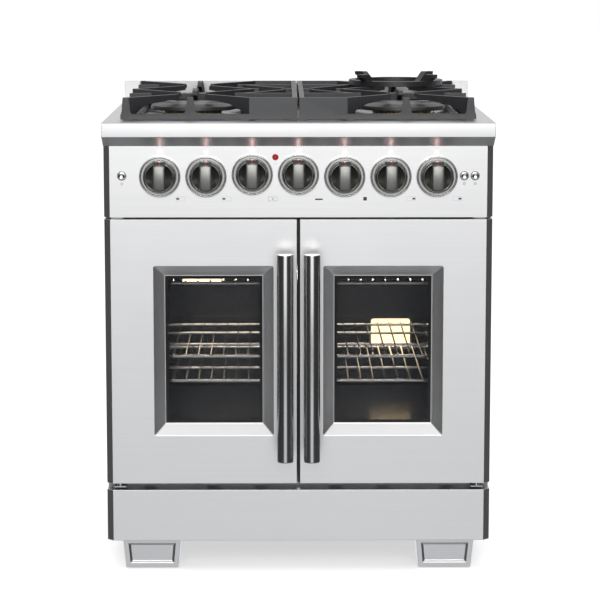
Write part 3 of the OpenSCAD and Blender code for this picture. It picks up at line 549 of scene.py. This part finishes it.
def copiesTree():
    # one copy of an object on every point, its Z along the point's outward vector
    tree, board, given = newTree("copies", {"Copy": "Object", "Spin": "Float", "Seed": "Int",
                                            "Material": "Material"})
    outward = board.add("GeometryNodeInputNamedAttribute", {"data_type": "FLOAT_VECTOR"}, {"Name": "outward"})
    upward = board.add("GeometryNodeInputNamedAttribute", {"data_type": "FLOAT_VECTOR"}, {"Name": "upward"})
    aimed = board.add("FunctionNodeAlignRotationToVector", {"axis": "Z"}, {"Vector": outward})
    level = board.add("FunctionNodeAlignRotationToVector", {"axis": "Y", "pivot_axis": "Z"},
                      {"Rotation": aimed, "Vector": upward})
    angle = board.add("FunctionNodeRandomValue", {"data_type": "FLOAT"},
                      {2: 0.0, 3: given.out("Spin"), "Seed": given.out("Seed")}, out=1)
    twist = board.add("FunctionNodeAxisAngleToRotation", {}, {"Axis": (0, 0, 1), "Angle": angle})
    turned = board.add("FunctionNodeRotateRotation", {"rotation_space": "LOCAL"},
                       {"Rotation": level, "Rotate By": twist})
    shape = board.add("GeometryNodeObjectInfo", {"transform_space": "ORIGINAL"},
                      {"Object": given.out("Copy")},
                      out="Geometry")
    placed = board.add("GeometryNodeInstanceOnPoints", {},
                       {"Points": given, "Instance": shape, "Rotation": turned})
    closeTree(board, given, placed)
    return tree


def wiresTree():
    # one bent wire, drawn as edges, repeated along X and given its thickness
    tree, board, given = newTree("wires", {"Count": "Int", "Pitch": "Float", "Radius": "Float",
                                           "Sides": "Int",
                                           "Material": "Material"})
    line = board.add("GeometryNodeMeshToCurve", {}, {"Mesh": given})
    step = board.add("ShaderNodeCombineXYZ", sockets={0: given.out("Pitch")})
    row = board.add("GeometryNodeMeshLine", {"mode": "OFFSET"}, {"Count": given.out("Count"), "Offset": step})
    copies = board.add("GeometryNodeInstanceOnPoints", {}, {"Points": row, "Instance": line})
    curves = board.add("GeometryNodeRealizeInstances", sockets={0: copies})
    ring = board.add("GeometryNodeCurvePrimitiveCircle", {},
                     {"Resolution": given.out("Sides"), "Radius": given.out("Radius")})
    tubes = board.add("GeometryNodeCurveToMesh", {},
                      {"Curve": curves, "Profile Curve": ring, "Fill Caps": True})
    closeTree(board, given, tubes)
    return tree


trees = {"copies": copiesTree(), "wires": wiresTree()}


def grow(name, treeName, data, values, body, replaced=(), smooth=35):
    host = bpy.data.objects.new(name + "_seed", data)
    bpy.context.scene.collection.objects.link(host)
    modifier = host.modifiers.new("grow", "NODES")
    tree = trees[treeName]
    modifier.node_group = tree
    for item in tree.interface.items_tree:
        if item.in_out == "INPUT" and item.name in values:
            modifier[item.identifier] = values[item.name]
    result = bpy.data.meshes.new_from_object(host.evaluated_get(bpy.context.evaluated_depsgraph_get()))
    host.modifiers.remove(modifier)
    bpy.data.objects.remove(host)
    result.name = name
    return linkPiece(name, result, None, body, replaced, smooth=smooth)


def pointsMesh(points):
    # points as (place, outward, upward)
    data = bpy.data.meshes.new("points")
    data.from_pydata([p[0] for p in points], [], [])
    for label, index in (("outward", 1), ("upward", 2)):
        attribute = data.attributes.new(label, "FLOAT_VECTOR", "POINT")
        for item, point in zip(attribute.data, points):
            item.vector = point[index]
    return data


def pathMesh(path):
    data = bpy.data.meshes.new("path")
    data.from_pydata([tuple(p) for p in path], [(i, i + 1) for i in range(len(path) - 1)], [])
    return data


def stamp(name, form):
    # a small shape that only serves as the copy in a tree
    form.merge(0.000001)
    bmesh.ops.recalc_face_normals(form.mesh, faces=form.mesh.faces)
    data = bpy.data.meshes.new(name)
    form.mesh.to_mesh(data)
    form.mesh.free()
    return bpy.data.objects.new(name, data)


def copies(name, shape, points, coat, body, slotName, spin=0.0, seed=3):
    values = {"Copy": shape, "Spin": spin, "Seed": seed, "Material": finish[coat]}
    return grow(name, "copies", pointsMesh(points), values, body)

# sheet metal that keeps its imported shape, with folded edges

railLow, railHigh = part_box("front_rail")
panelLow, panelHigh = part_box("control_panel")
kickLow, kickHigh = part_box("kick_panel")
skinLow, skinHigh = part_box("door_skin_right")
faceY = panelLow.y
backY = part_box("back_panel")[1].y
halfWidth = panelHigh.x

foldedSheets = {
    "side_panel_left": ("steelDeep", 0.0008, "stainless"),
    "side_panel_right": ("steelDeep", 0.0008, "stainless"),
    "kick_panel": ("steelAcross", 0.0009, "stainless"),
    "control_panel": ("steelAcross", 0.0009, "stainless"),
    "front_rail": ("steelTopShaded", 0.0009, "stainless"),
    "back_guard": ("steelTopShaded", 0.001, "stainless"),
    "cooktop_tray": ("steelTopShaded", 0.0008, "stainless"),
    "front_frame": ("frameGrey", 0.0004, "dark_steel"),
    "back_panel": ("zinc", 0.0004, "galvanised"),
    "base_pan": ("zinc", 0.0004, "galvanised"),
    "oven_liner": ("enamel", 0.0006, "enamel"),
    "oven_floor": ("enamel", 0.0006, "enamel"),
    "fan_cover": ("enamel", 0.0016, "enamel"),
    "door_liner_left": ("blackSteel", 0.0007, "dark_steel"),
    "door_liner_right": ("blackSteel", 0.0007, "dark_steel"),
    "door_hinges": ("zinc", 0.0004, "galvanised"),
    "broil_burner": ("tile", 0.001, "tile"),
    "switch_bodies": ("plastic", 0.0012, "plastic"),
    "leveling_legs": ("blackSteel", 0.0008, "dark_steel"),
    "grate_left": ("grateIron", 0.0013, "cast_iron"),
    "grate_right": ("grateIron", 0.0013, "cast_iron"),
    "wok_ring": ("capIron", 0.0013, "cast_iron"),
    "burner_bases": ("aluminium", 0.001, "aluminium"),
    "convection_fan": ("chrome", 0.0003, "chrome"),
    "fan_motor": ("zinc", 0.001, "galvanised"),
}

bodyOf = {node: body for body, nodes in frame["record"]["behaviour"]["bodies"].items() for node in nodes}


def addFoldedSheets():
    for node, (coat, fold, slotName) in foldedSheets.items():
        makePiece(node + "_made", cadForm(node), coat, bodyOf[node], (node,), bevel=fold)
    print("folded sheets and castings made:", len(foldedSheets))


foot = {"wide": 0.115, "lean": 0.0055, "border": 0.0095, "fall": 0.0035, "slope": 0.004}


def addFootCovers():
    # four leaning sides round each leg, the front one with a framed recess
    low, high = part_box("foot_covers")
    wide, lean = foot["wide"], foot["lean"]
    for side in (-1, 1):
        form = Form()
        x0, x1 = high.x - wide, high.x
        y0, y1 = low.y, low.y + wide
        z0, z1 = low.z, high.z

        def front(inset, depth):
            # a loop on the front face, which leans back towards the floor
            share = lambda z: (z1 - z) / (z1 - z0)
            loop = []
            for x, z, way in ((x0, z0, 1), (x1, z0, -1), (x1, z1, -1), (x0, z1, 1)):
                zin = z + inset if z == z0 else z - inset
                loop.append((x + way * (inset + lean * share(zin)), y0 + lean * share(zin) + depth, zin))
            return loop

        form.skin([[(x0 + lean, y1 - lean, z0), (x1 - lean, y1 - lean, z0), (x1, y1, z1), (x0, y1, z1)],
                   front(0.0, 0.0), front(foot["border"], 0.0),
                   front(foot["border"] + foot["slope"], foot["fall"])])
        if side < 0:
            form.mirror()
        makePiece("foot_cover_" + sideName(side), form, "steelAcross", "casing",
                  ("foot_covers",), bevel=0.0007)


burnerPan = {"lap": 0.018, "depth": 0.014, "thick": 0.0006, "round": 0.012}


def addBurnerPan():
    # black enamel lining of the well under the burners
    gratesLow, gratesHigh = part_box("grate_left")[0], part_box("grate_right")[1]
    lap, top = burnerPan["lap"], railHigh.z
    bottom = top - burnerPan["depth"] + burnerPan["thick"]
    edge = (gratesLow.x + lap, gratesHigh.x - lap, gratesLow.y + lap, gratesHigh.y - lap)

    def level(by, z):
        return [(p[0], p[2], z) for p in roundedLoop(*grownEdge(edge, by), burnerPan["round"], 0.0)]

    form = Form()
    form.skin([level(0.003, top + 0.0006), level(-0.0006, top + 0.0006), level(-0.0012, top),
               level(-0.0030, bottom + 0.0010), level(-0.0050, bottom)], caps=(False, True))
    makePiece("burner_pan", form, "enamel", "casing", outward=True)


def addDoorStop():
    # a small pale bumper that the closed doors stand over
    form = Form()
    form.turn([(0.0, 0.0), (0.0042, 0.0), (0.0042, 0.0014), (0.0030, 0.0024), (0.0, 0.0028)],
              at(0.0, faceY + 0.010, kickHigh.z), 24)
    makePiece("door_stop", form, "plastic", "casing")


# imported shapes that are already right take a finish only
finishOnly = {
    "insulation": "wool", "rack_guides": "wire", "gas_manifold": "brass", "bake_burner": "wire",
    "door_glass_left": "glass", "door_glass_right": "glass",
    **{"valve_stem_%d" % i: "brass" for i in (1, 2, 3, 4, 6, 7)},
}


def coatPackedShapes():
    for node, coat in finishOnly.items():
        data = frame["nodes"][node].data
        for i in range(len(data.materials)):
            data.materials[i] = finish[coat]


# doors

door = {"wall": 0.0014, "edgeCut": 0.012, "windowRound": 0.0045, "paneRound": 0.0010, "bevelDepth": 0.0205,
        "lip": 0.0016, "fold": 0.0011, "fritWidth": 0.0062, "fritThick": 0.00025}
glassLow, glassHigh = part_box("door_glass_right")
linerLow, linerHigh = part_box("door_liner_right")
paneLap = 0.010
windowBevel = 0.0205
paneEdge = (glassLow.x + paneLap, glassHigh.x - paneLap, glassLow.z + paneLap, glassHigh.z - paneLap)


def grownEdge(edge, by):
    return edge[0] - by, edge[1] + by, edge[2] - by, edge[3] + by


def doorOutline(x1, cut, depth, cutCorner):
    # outer loop of the sheet, with an extra point where the bevelled edge starts
    steps = 6
    x0, z0, z1 = skinLow.x, skinLow.z, skinHigh.z
    inner = x1 - cut if cutCorner else x1
    edgeY = faceY + (depth if depth > cut else cut if cutCorner else depth)
    flatY = faceY + depth
    loop = []
    for i in range(steps + 1):
        outer = i < steps / 2
        loop.append((x1 if outer else inner, edgeY if outer else flatY, z1))
    loop += [(x0, flatY, z1)] * (steps + 1)
    loop += [(x0, flatY, z0)] * (steps + 1)
    for i in range(steps + 1):
        outer = i > steps / 2
        loop.append((x1 if outer else inner, edgeY if outer else flatY, z0))
    return loop


def addDoorSkin(side):
    name = sideName(side)
    backEdge = linerLow.y
    x1 = skinHigh.x
    loops = [
        doorOutline(x1, door["edgeCut"], backEdge - faceY, True),
        doorOutline(x1, door["edgeCut"], 0.0, True),
        doorOutline(x1 - door["edgeCut"], 0.0, 0.0, False),
        roundedLoop(*grownEdge(paneEdge, windowBevel), door["windowRound"], faceY),
        roundedLoop(*paneEdge, door["paneRound"], faceY + door["bevelDepth"]),
        roundedLoop(*grownEdge(paneEdge, -door["lip"]), door["paneRound"], faceY + door["bevelDepth"]),
    ]
    form = Form()
    form.skin(loops, caps=(False, False))
    if side < 0:
        form.mirror()
    form.merge(0.000002)
    front = max((f for f in form.mesh.faces if abs(f.normal.y) > 0.99), key=lambda f: f.calc_area())
    if front.normal.y > 0:
        bmesh.ops.reverse_faces(form.mesh, faces=form.mesh.faces)
    piece = makePiece("door_skin_%s_made" % name, form, "steelAcross", "door_" + name,
                      ("door_skin_" + name,), bevel=door["fold"], outward=False, steps=3)
    wall = piece.modifiers.new("wall", "SOLIDIFY")
    wall.thickness = door["wall"]
    wall.offset = -1
    wall.use_even_offset = True
    piece.modifiers.move(1, 0)


def addFrit(side):
    # black ceramic border fired on the outer pane
    name = sideName(side)
    y = glassLow.y
    outer = grownEdge(paneEdge, 0.004)
    inner = grownEdge(paneEdge, -door["lip"] - door["fritWidth"])
    form = Form()
    loops = []
    for depth in (-door["fritThick"], 0.0):
        loops.append((roundedLoop(*outer, 0.003, y + depth), roundedLoop(*inner, 0.002, y + depth)))
    form.skin([loops[0][0], loops[0][1], loops[1][1], loops[1][0], loops[0][0]], caps=(False, False))
    if side < 0:
        form.mirror()
    makePiece("window_border_" + name, form, "frit", "door_" + name)


handle = {"capRound": 0.002, "collar": 0.0105, "postIn": 0.035, "steps": 72}


def addHandle(side):
    name = sideName(side)
    low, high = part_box("handle_" + name)
    radius = (high.x - low.x) / 2
    x, y = (low.x + high.x) / 2, low.y + radius
    r = handle["capRound"]
    length = high.z - low.z
    rounding = [(r * (1 - math.cos(a)),
                 radius - r + r * math.sin(a)) for a in (math.pi / 2 * i / 5 for i in range(6))]
    profile = [(0.0, 0.0)] + [(wide, up) for up, wide in rounding]
    profile += [(wide, length - up) for up, wide in reversed(rounding)] + [(0.0, length)]
    form = Form()
    form.turn(profile, at(x, y, low.z), handle["steps"])
    for z in (low.z + handle["postIn"], high.z - handle["postIn"]):
        reach = faceY - y
        neck = [(0.007, 0.0), (0.007, reach - 0.012), (0.0075, reach - 0.008),
                (handle["collar"], reach - 0.006),
                (handle["collar"], reach - 0.0008), (handle["collar"] - 0.0008, reach - 0.00005)]
        form.turn(neck, at(x, y, z) @ Matrix.Rotation(math.radians(-90), 4, "X"), 40)
    makePiece("handle_%s_made" % name, form, "steelHandle", "door_" + name,
              ("handle_" + name,))


def addDoorSeals():
    # bulb gasket round the oven mouth, and the strip that closes the gap between the doors
    low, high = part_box("door_seal")
    thick = (high.y - low.y) / 2
    form = Form()
    mid = (low.x + 0.006, high.x - 0.006, low.z + 0.006, high.z - 0.006)
    loops = []
    for k in range(12):
        a = 2 * math.pi * k / 12
        out = math.cos(a) * 0.0055
        loops.append(roundedLoop(*grownEdge(mid, out), 0.02 + out,
                                 (low.y + high.y) / 2 + math.sin(a) * thick, 8))
    form.skin(loops + [loops[0]], caps=(False, False))
    makePiece("door_gasket", form, "rubber", "casing", ("door_seal",))
    strip = Form()
    strip.block((-0.0018, faceY + 0.004, skinLow.z + 0.002), (skinLow.x, faceY + 0.026, skinHigh.z - 0.002))
    makePiece("door_gap_strip", strip, "rubber", "door_right", bevel=0.0005)


def addDoors():
    for side in (-1, 1):
        addDoorSkin(side)
        addFrit(side)
        addHandle(side)
    addDoorSeals()
    print("doors made")


# knobs, buttons and marks

knob = {"radius": 0.0322, "bore": 0.00405, "back": 0.0068, "out": 0.046, "gripHalf": 0.0113,
        "gripLong": 0.0245,
        "rampLong": 0.0300, "bezelRadius": 0.040, "bezelRim": 0.0090, "steps": 72}
knobNumbers = range(1, 8)


def knobPlace(i):
    low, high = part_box("knob_%d" % i)
    return facing((low.x + high.x) / 2, (low.z + high.z) / 2, faceY)


def gripOutline(inset):
    # the bar seen from the front, arched at both ends
    half, long = knob["gripHalf"] - inset, knob["gripLong"] - inset
    points = []
    for end in (1, -1):
        for i in range(9):
            t = (1 - 2 * i / 8) * end
            points.append((half * t, (long - 0.0028 * t * t) * end))
    return points


def addKnob(i):
    place = knobPlace(i)
    radius, back = knob["radius"], knob["back"]
    form = Form()
    body = [(knob["bore"], back + 0.001), (knob["bore"], back), (radius - 0.0012, back),
            (radius, back + 0.0012),
            (radius, 0.0175), (radius - 0.0006, 0.0200), (radius - 0.0022, 0.0248), (radius - 0.0036, 0.0276),
            (radius - 0.0048, 0.0286), (radius - 0.0062, 0.0280), (radius - 0.0078,
                                                                   0.0256), (radius - 0.0112, 0.0212),
            (radius - 0.0160, 0.0184), (radius - 0.0215, 0.0172), (0.0, 0.0170)]
    form.turn(body, place, knob["steps"])
    makePiece("knob_%d_made" % i, form, "knobMetal", "knob_%d" % i, ("knob_%d" % i,),
              bevel=0.0004)
    form = Form()
    bar = [(0.0010, 0.0150), (0.0, 0.0200), (0.0, 0.0440), (0.0005, 0.0453), (0.0018, knob["out"])]
    form.skin([[place @ Vector((u, v, h)) for u, v in gripOutline(inset)] for inset, h in bar])
    # sloped ramp from the bar up to the rim
    ramp = []
    for wide, far, height in ((0.0100, 0.0200, 0.0400), (0.0118, 0.0250, 0.0350),
                              (0.0132, knob["rampLong"], 0.0268)):
        ramp.append([place @ Vector(p) for p in ((-wide, far, 0.016), (wide, far, 0.016),
                                                 (wide - 0.001, far, height),
                                                 (-wide + 0.001, far, height))])
    form.skin(ramp)
    makePiece("knob_%d_grip" % i, form, "gripMetal", "knob_%d" % i, bevel=0.0004)
    mark = Form()
    run = ((0.0212, 0.0390), (0.0250, 0.0351), (0.0296, 0.0274))
    mark.skin([[place @ Vector((x, far, height + lift)) for x,
                lift in ((-0.0010, 0), (0.0010, 0), (0.0010, 0.0005),
                                                                       (-0.0010, 0.0005))] for far,
                                                                       height in run])
    makePiece("knob_%d_mark" % i, mark, "redMark", "knob_%d" % i)


def addBezels():
    form = Form()
    outer, rim = knob["bezelRadius"], knob["bezelRim"]
    ring = [(0.0074, 0.0), (outer - 0.0002, 0.0), (outer, 0.0010), (outer, rim - 0.0030)]
    ring += [(outer - 0.0018 + 0.0018 * math.cos(a), rim - 0.0018 + 0.0018 * math.sin(a))
             for a in (math.pi * k / 8 for k in range(9))]
    ring += [(outer - 0.0037, 0.0032), (0.0074, 0.0032), (0.0074, 0.0)]
    for i in knobNumbers:
        form.turn(ring, knobPlace(i), 80)
    makePiece("knob_bezels_made", form, "bezel", "casing", ("knob_bezels",))


knobLight = {"power": 0.0012, "tint": (1.0, 0.55, 0.52), "size": 0.003, "up": 0.0445, "out": 0.009}


def addKnobLights():
    # a small lens over each knob, and the light that it throws
    form = Form()
    for i in knobNumbers:
        place = knobPlace(i)
        form.turn([(0.0, 0.0), (0.0030, 0.0), (0.0030, 0.0008), (0.0018, 0.0016), (0.0, 0.0019)],
                  place @ at(0, knobLight["up"], 0.0), 24)
        spot = bpy.data.lights.new("knob_light", "POINT")
        spot.energy = knobLight["power"]
        spot.color = knobLight["tint"]
        spot.shadow_soft_size = knobLight["size"]
        lamp = bpy.data.objects.new("knob_light_%d" % i, spot)
        lamp.location = place @ Vector((0, knobLight["up"] + 0.001, knobLight["out"]))
        bpy.context.scene.collection.objects.link(lamp)
    makePiece("knob_lenses", form, "knobGlow", "casing")


def addButtons():
    collars = Form()
    for name in ("light", "fan", "ignite"):
        node = "button_" + name
        low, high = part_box(node)
        place = facing((low.x + high.x) / 2, (low.z + high.z) / 2, faceY)
        form = Form()
        form.turn([(0.0, -0.008), (0.0088, -0.008), (0.0088, -0.005), (0.0072, -0.005), (0.0072, 0.0030),
                   (0.0067, 0.0038), (0.0058, 0.0040), (0.0050, 0.0034), (0.0, 0.0030)], place, 48)
        makePiece(node + "_made", form, "chrome", node, (node,))
        collars.turn([(0.0076, 0.0001), (0.0092, 0.0001), (0.0092, 0.0010), (0.0087, 0.0015),
                      (0.0080, 0.0015),
                      (0.0076, 0.0010), (0.0076, 0.0001)], place, 48)
    makePiece("button_collars", collars, "bezel", "casing")


indicator = {"x": -0.0451, "z": 0.829, "radius": 0.0062}


def addIndicator():
    place = facing(indicator["x"], indicator["z"], faceY)
    r = indicator["radius"]
    lens = Form()
    lens.turn([(0.0, -0.004), (r * 0.78, -0.004), (r * 0.78, 0.0004), (r * 0.72, 0.0022), (r * 0.45, 0.0036),
               (0.0, 0.0041)], place, 36)
    makePiece("indicator_lens", lens, "redJewel", "casing")
    ring = Form()
    ring.turn([(r * 0.79, 0.0), (r, 0.0), (r, 0.0008), (r * 0.92, 0.0016), (r * 0.79, 0.0014),
               (r * 0.79, 0.0)], place, 36)
    makePiece("indicator_ring", ring, "redMark", "casing")


# generic marks: frames and dots under the knobs, a bulb, a fan and a spark by the buttons
marks = {"proud": 0.00012, "aside": 0.040}


def addMarks():
    dark, pale = Form(), Form()
    y = faceY - marks["proud"]

    def bar(form, x, z, wide, tall):
        form.block((x - wide / 2, y, z - tall / 2), (x + wide / 2, faceY + 0.0001, z + tall / 2))

    def box(form, x, z, wide, tall, line=0.0004):
        for up in (-1, 1):
            bar(form, x, z + up * tall / 2, wide, line)
            bar(form, x + up * wide / 2, z, line, tall)

    for i in knobNumbers:
        centre = knobPlace(i).translation
        x, z = centre.x + marks["aside"], panelLow.z + 0.0365
        if i in (1, 2, 6, 7):
            box(pale, x, z, 0.0170, 0.0080)
            bar(dark, x + (-0.0052 if i < 3 else 0.0052), z, 0.0056, 0.0034)
        elif i == 3:
            box(dark, x, z, 0.0170, 0.0080)
            bar(dark, x, z, 0.0022, 0.0022)
        elif i == 4:
            bar(dark, x, z - 0.0010, 0.0150, 0.0028)
        else:
            bar(dark, x, z, 0.0070, 0.0070)
    for x, count in ((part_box("button_light")[0].x + 0.009, 3), (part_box("button_fan")[0].x + 0.009, 4),
                     (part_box("button_ignite")[0].x + 0.009, 3)):
        z = panelLow.z + 0.066
        dark.turn([(0.0016, -0.0001), (0.0022, -0.0001), (0.0022, marks["proud"]), (0.0016, marks["proud"]),
                   (0.0016, -0.0001)], facing(x, z, faceY), 24)
        for k in range(count):
            a = 2 * math.pi * k / count + 0.5
            bar(dark, x + 0.0034 * math.cos(a), z + 0.0034 * math.sin(a), 0.0007, 0.0007)
    box(pale, indicator["x"], indicator["z"] - 0.0125, 0.0050, 0.0040, 0.0003)
    makePiece("panel_marks_dark", dark, "ink", "casing")
    makePiece("panel_marks_pale", pale, "paleInk", "casing")


def addControls():
    for i in knobNumbers:
        addKnob(i)
    addBezels()
    addKnobLights()
    addButtons()
    addIndicator()
    addMarks()
    print("controls made")


# burners

burner = {"ringHeight": 0.011, "ringShare": 0.68, "capLean": 0.014, "toothPitch": 0.0085}
capLow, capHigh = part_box("burner_caps")


def burnerCentres():
    # centres and radii of the caps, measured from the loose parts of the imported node
    form = cadForm("burner_caps")
    seen, found = set(), []
    for start in form.mesh.verts:
        if start in seen:
            continue
        group, stack = [], [start]
        seen.add(start)
        while stack:
            vertex = stack.pop()
            group.append(vertex.co.copy())
            for edge in vertex.link_edges:
                other = edge.other_vert(vertex)
                if other not in seen:
                    seen.add(other)
                    stack.append(other)
        xs, ys = [p.x for p in group], [p.y for p in group]
        found.append(((min(xs) + max(xs)) / 2, (min(ys) + max(ys)) / 2, (max(xs) - min(xs)) / 2))
    form.mesh.free()
    return sorted(found)


def addBurners():
    caps, rings, posts, tips = Form(), Form(), Form(), Form()
    z0, top = capLow.z, capHigh.z
    teeth = []
    for x, y, radius in burnerCentres():
        place = at(x, y, 0)
        lean = burner["capLean"]
        caps.turn([(0.0, z0), (radius - 0.0010, z0), (radius, z0 + 0.0010), (radius, z0 + 0.0062),
                   (radius - 0.0012, z0 + 0.0082), (radius - lean, top - 0.0012), (radius - lean - 0.003,
                                                                                   top - 0.0002),
                   (radius * 0.5, top), (0.0, top)], place, 96)
        ring = radius * burner["ringShare"]
        low = z0 - burner["ringHeight"]
        rings.turn([(ring - 0.006, low), (ring - 0.0025, low), (ring - 0.0025, z0 - 0.0006),
                    (ring - 0.006, z0 - 0.0006),
                    (ring - 0.006, low)], place, 96)
        rings.turn([(ring - 0.003, low), (ring, low), (ring, low + 0.0032), (ring - 0.003, low + 0.0032),
                    (ring - 0.003, low)], place, 96)
        count = int(2 * math.pi * ring / burner["toothPitch"])
        for k in range(count):
            a = 2 * math.pi * k / count
            way = (math.cos(a), math.sin(a), 0.0)
            teeth.append(((x + way[0] * (ring - 0.0015), y + way[1] * (ring - 0.0015), low + 0.006), way,
                          (0, 0, 1)))
        # spark electrode in its ceramic sleeve
        a = math.radians(205 if x < 0.01 else 335)
        px, py = x + (ring + 0.009) * math.cos(a), y + (ring + 0.009) * math.sin(a)
        posts.turn([(0.0, low - 0.006), (0.0034, low - 0.006), (0.0034, low + 0.004), (0.0022, low + 0.006),
                    (0.0, low + 0.006)],
                   at(px, py, 0), 20)
        tips.turn([(0.0, low + 0.005), (0.0009, low + 0.005), (0.0009, low + 0.0095), (0.0, low + 0.0102)],
                  at(px, py, 0), 12)
    makePiece("burner_caps_made", caps, "capIron", "casing", ("burner_caps",))
    makePiece("burner_rings_made", rings, "brass", "casing", ("burner_rings",))
    makePiece("igniter_sleeves", posts, "lampSleeve", "casing")
    makePiece("igniter_tips", tips, "wire", "casing")
    tooth = Form()
    tooth.block((-0.0026, -0.0032, -0.0015), (0.0026, 0.0042, 0.0015))
    copies("burner_ports", stamp("tooth", tooth), teeth, "brass", "casing", "brass")
    print("burners made:", len(teeth), "ports")


# oven

rack = {"frameRadius": 0.0032, "wireRadius": 0.0018, "pitch": 0.025, "crossShares": (0.36, 0.72),
        "tail": 0.0062}


def addRack(name):
    low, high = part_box("rack_" + name)
    r, w = rack["frameRadius"], rack["wireRadius"]
    barZ = low.z + r
    wireZ = high.z - w
    x0, x1 = low.x + r, high.x - r
    y0, y1 = low.y + r, high.y - r
    form = Form()
    corner = 0.012
    loop = roundedLoop(x0, x1, y0, y1, corner, 0.0, 6)
    ring = [(p[0], p[2], barZ) for p in loop]
    form.tube(ring + ring[:2], r, 14, caps=False)
    for share in rack["crossShares"]:
        y = y0 + (y1 - y0) * share
        form.tube([(x0, y, barZ), (x1, y, barZ)], r * 0.9, 12)
    makePiece("rack_%s_frame" % name, form, "wire", "rack_" + name, ("rack_" + name,))
    count = 2 * int((x1 - 0.012) / rack["pitch"]) + 1
    startX = -(count - 1) / 2 * rack["pitch"]
    frontY = low.y - w * 0.6
    path = bend([(startX, y1, wireZ), (startX, frontY, wireZ), (startX, frontY, barZ - rack["tail"] * 0.5)],
                0.0035)
    values = {"Count": count, "Pitch": rack["pitch"], "Radius": w, "Sides": 10, "Material": finish["wire"]}
    grow("rack_%s_wires" % name, "wires", pathMesh(path), values, "rack_" + name)


def addOvenLamps():
    # a ribbed glass lens in a thin frame on the back wall
    form, rims = Form(), Form()
    low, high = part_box("oven_lamps")
    parts = cadForm("oven_lamps")
    corners = sorted({(round(v.co.x, 4), round(v.co.z, 4)) for v in parts.mesh.verts})
    parts.mesh.free()
    for x0, x1 in ((corners[0][0], corners[3][0]), (corners[4][0], corners[7][0])):
        zs = [z for x, z in corners if x0 - 0.001 < x < x1 + 0.001]
        z0, z1 = min(zs), max(zs)
        loops = []
        for inset, y in ((0.0, high.y), (0.0, high.y - 0.004), (0.004, low.y + 0.0015),
                         (0.009, low.y + 0.0002)):
            loops.append(roundedLoop(x0 + inset, x1 - inset, z0 + inset, z1 - inset, 0.006, y))
        form.skin(loops)
        edge = (x0, x1, z0, z1)
        rims.skin([roundedLoop(*grownEdge(edge, g), 0.007, high.y - d) for g, d in
                   ((0.003, 0.0), (0.003, 0.003), (0.0002, 0.003), (0.0002, 0.0))] +
                  [roundedLoop(*grownEdge(edge, 0.003), 0.007, high.y)], caps=(False, False))
    makePiece("oven_lamps_made", form, "lampGlass", "casing", ("oven_lamps",))
    makePiece("oven_lamp_rims", rims, "wire", "casing")


ovenLight = {"power": 1.6, "tint": (1.0, 0.90, 0.76)}


def addOven():
    for name in ("top", "middle", "lower"):
        addRack(name)
    addOvenLamps()
    # soft light inside, as from the two lamps
    for side in (-1, 1):
        glow = addLamp("oven_glow_" + sideName(side), (side * 0.15, 0.12, 0.655), (side * 0.15, -0.05, 0.40),
                       (0.20, 0.10), ovenLight["power"], ovenLight["tint"])
        glow.data.cycles.is_caustics_light = False
    print("oven made")


# screws and fittings

screw = {"head": 0.0042, "high": 0.0022}


def screwShape():
    form = Form()
    r, h = screw["head"], screw["high"]
    form.turn([(0.0, -0.0005), (r, -0.0005), (r, h * 0.35), (r * 0.86, h * 0.75), (r * 0.55, h),
               (r * 0.34, h),
               (r * 0.30, h * 0.4), (0.0, h * 0.3)], Matrix.Identity(4), 20)
    return stamp("screw", form)


def addScrews():
    shape = screwShape()
    back, up = (0, 1, 0), (0, 0, 1)
    points = []
    for side in (-1, 1):
        for k in range(6):
            points.append(((side * (halfWidth - 0.012), backY, kickLow.z + 0.04 + k * 0.15), back, up))
        for x in (0.05, 0.18, 0.30):
            points.append(((side * x, backY, kickLow.z + 0.012), back, up))
            points.append(((side * x, backY, railHigh.z - 0.018), back, up))
    copies("casing_screws", shape, points, "chrome", "casing", "chrome", spin=6.28)
    linerY = linerHigh.y
    for side in (-1, 1):
        name = sideName(side)
        inner = []
        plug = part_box("door_liner_" + name)
        x = (plug[0].x + plug[1].x) / 2
        for z in (skinLow.z + 0.008, skinHigh.z - 0.008):
            for shift in (-0.12, 0.0, 0.12):
                inner.append(((x + shift, linerLow.y + 0.0015, z), back, up))
        copies("door_screws_" + name, shape, inner, "chrome", "door_" + name, "chrome", spin=6.28)
    print("screws set:", len(points))


def addFittings():
    # strain-relief grommet round the cord entry
    form = Form()
    form.turn([(0.0112, -0.0010), (0.0145, -0.0010), (0.0150, 0.0002), (0.0140, 0.0009), (0.0112, 0.0009),
               (0.0112, -0.0010)], at(-0.311, backY - 0.0009, 0.150) @
              Matrix.Rotation(math.radians(-90), 4, "X"), 48)
    makePiece("cord_grommet", form, "rubber", "casing")


washer = {"x": 0.355, "y": -0.283, "up": 0.0026}


def addHingeWashers():
    # washers on the lower hinge pins
    form = Form()
    for side in (-1, 1):
        low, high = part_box("door_hinges")
        form.turn([(0.0, 0.0), (0.0055, 0.0), (0.0062, 0.0008), (0.0062, 0.0040), (0.0052, 0.0048),
                   (0.0, 0.0048)],
                  at(side * washer["x"], washer["y"], low.z + washer["up"]), 32)
    makePiece("hinge_washers", form, "chrome", "casing")


addFoldedSheets()
addFootCovers()
addBurnerPan()
addDoorStop()
coatPackedShapes()
addDoors()
addControls()
addBurners()
addOven()
addScrews()
addFittings()
addHingeWashers()
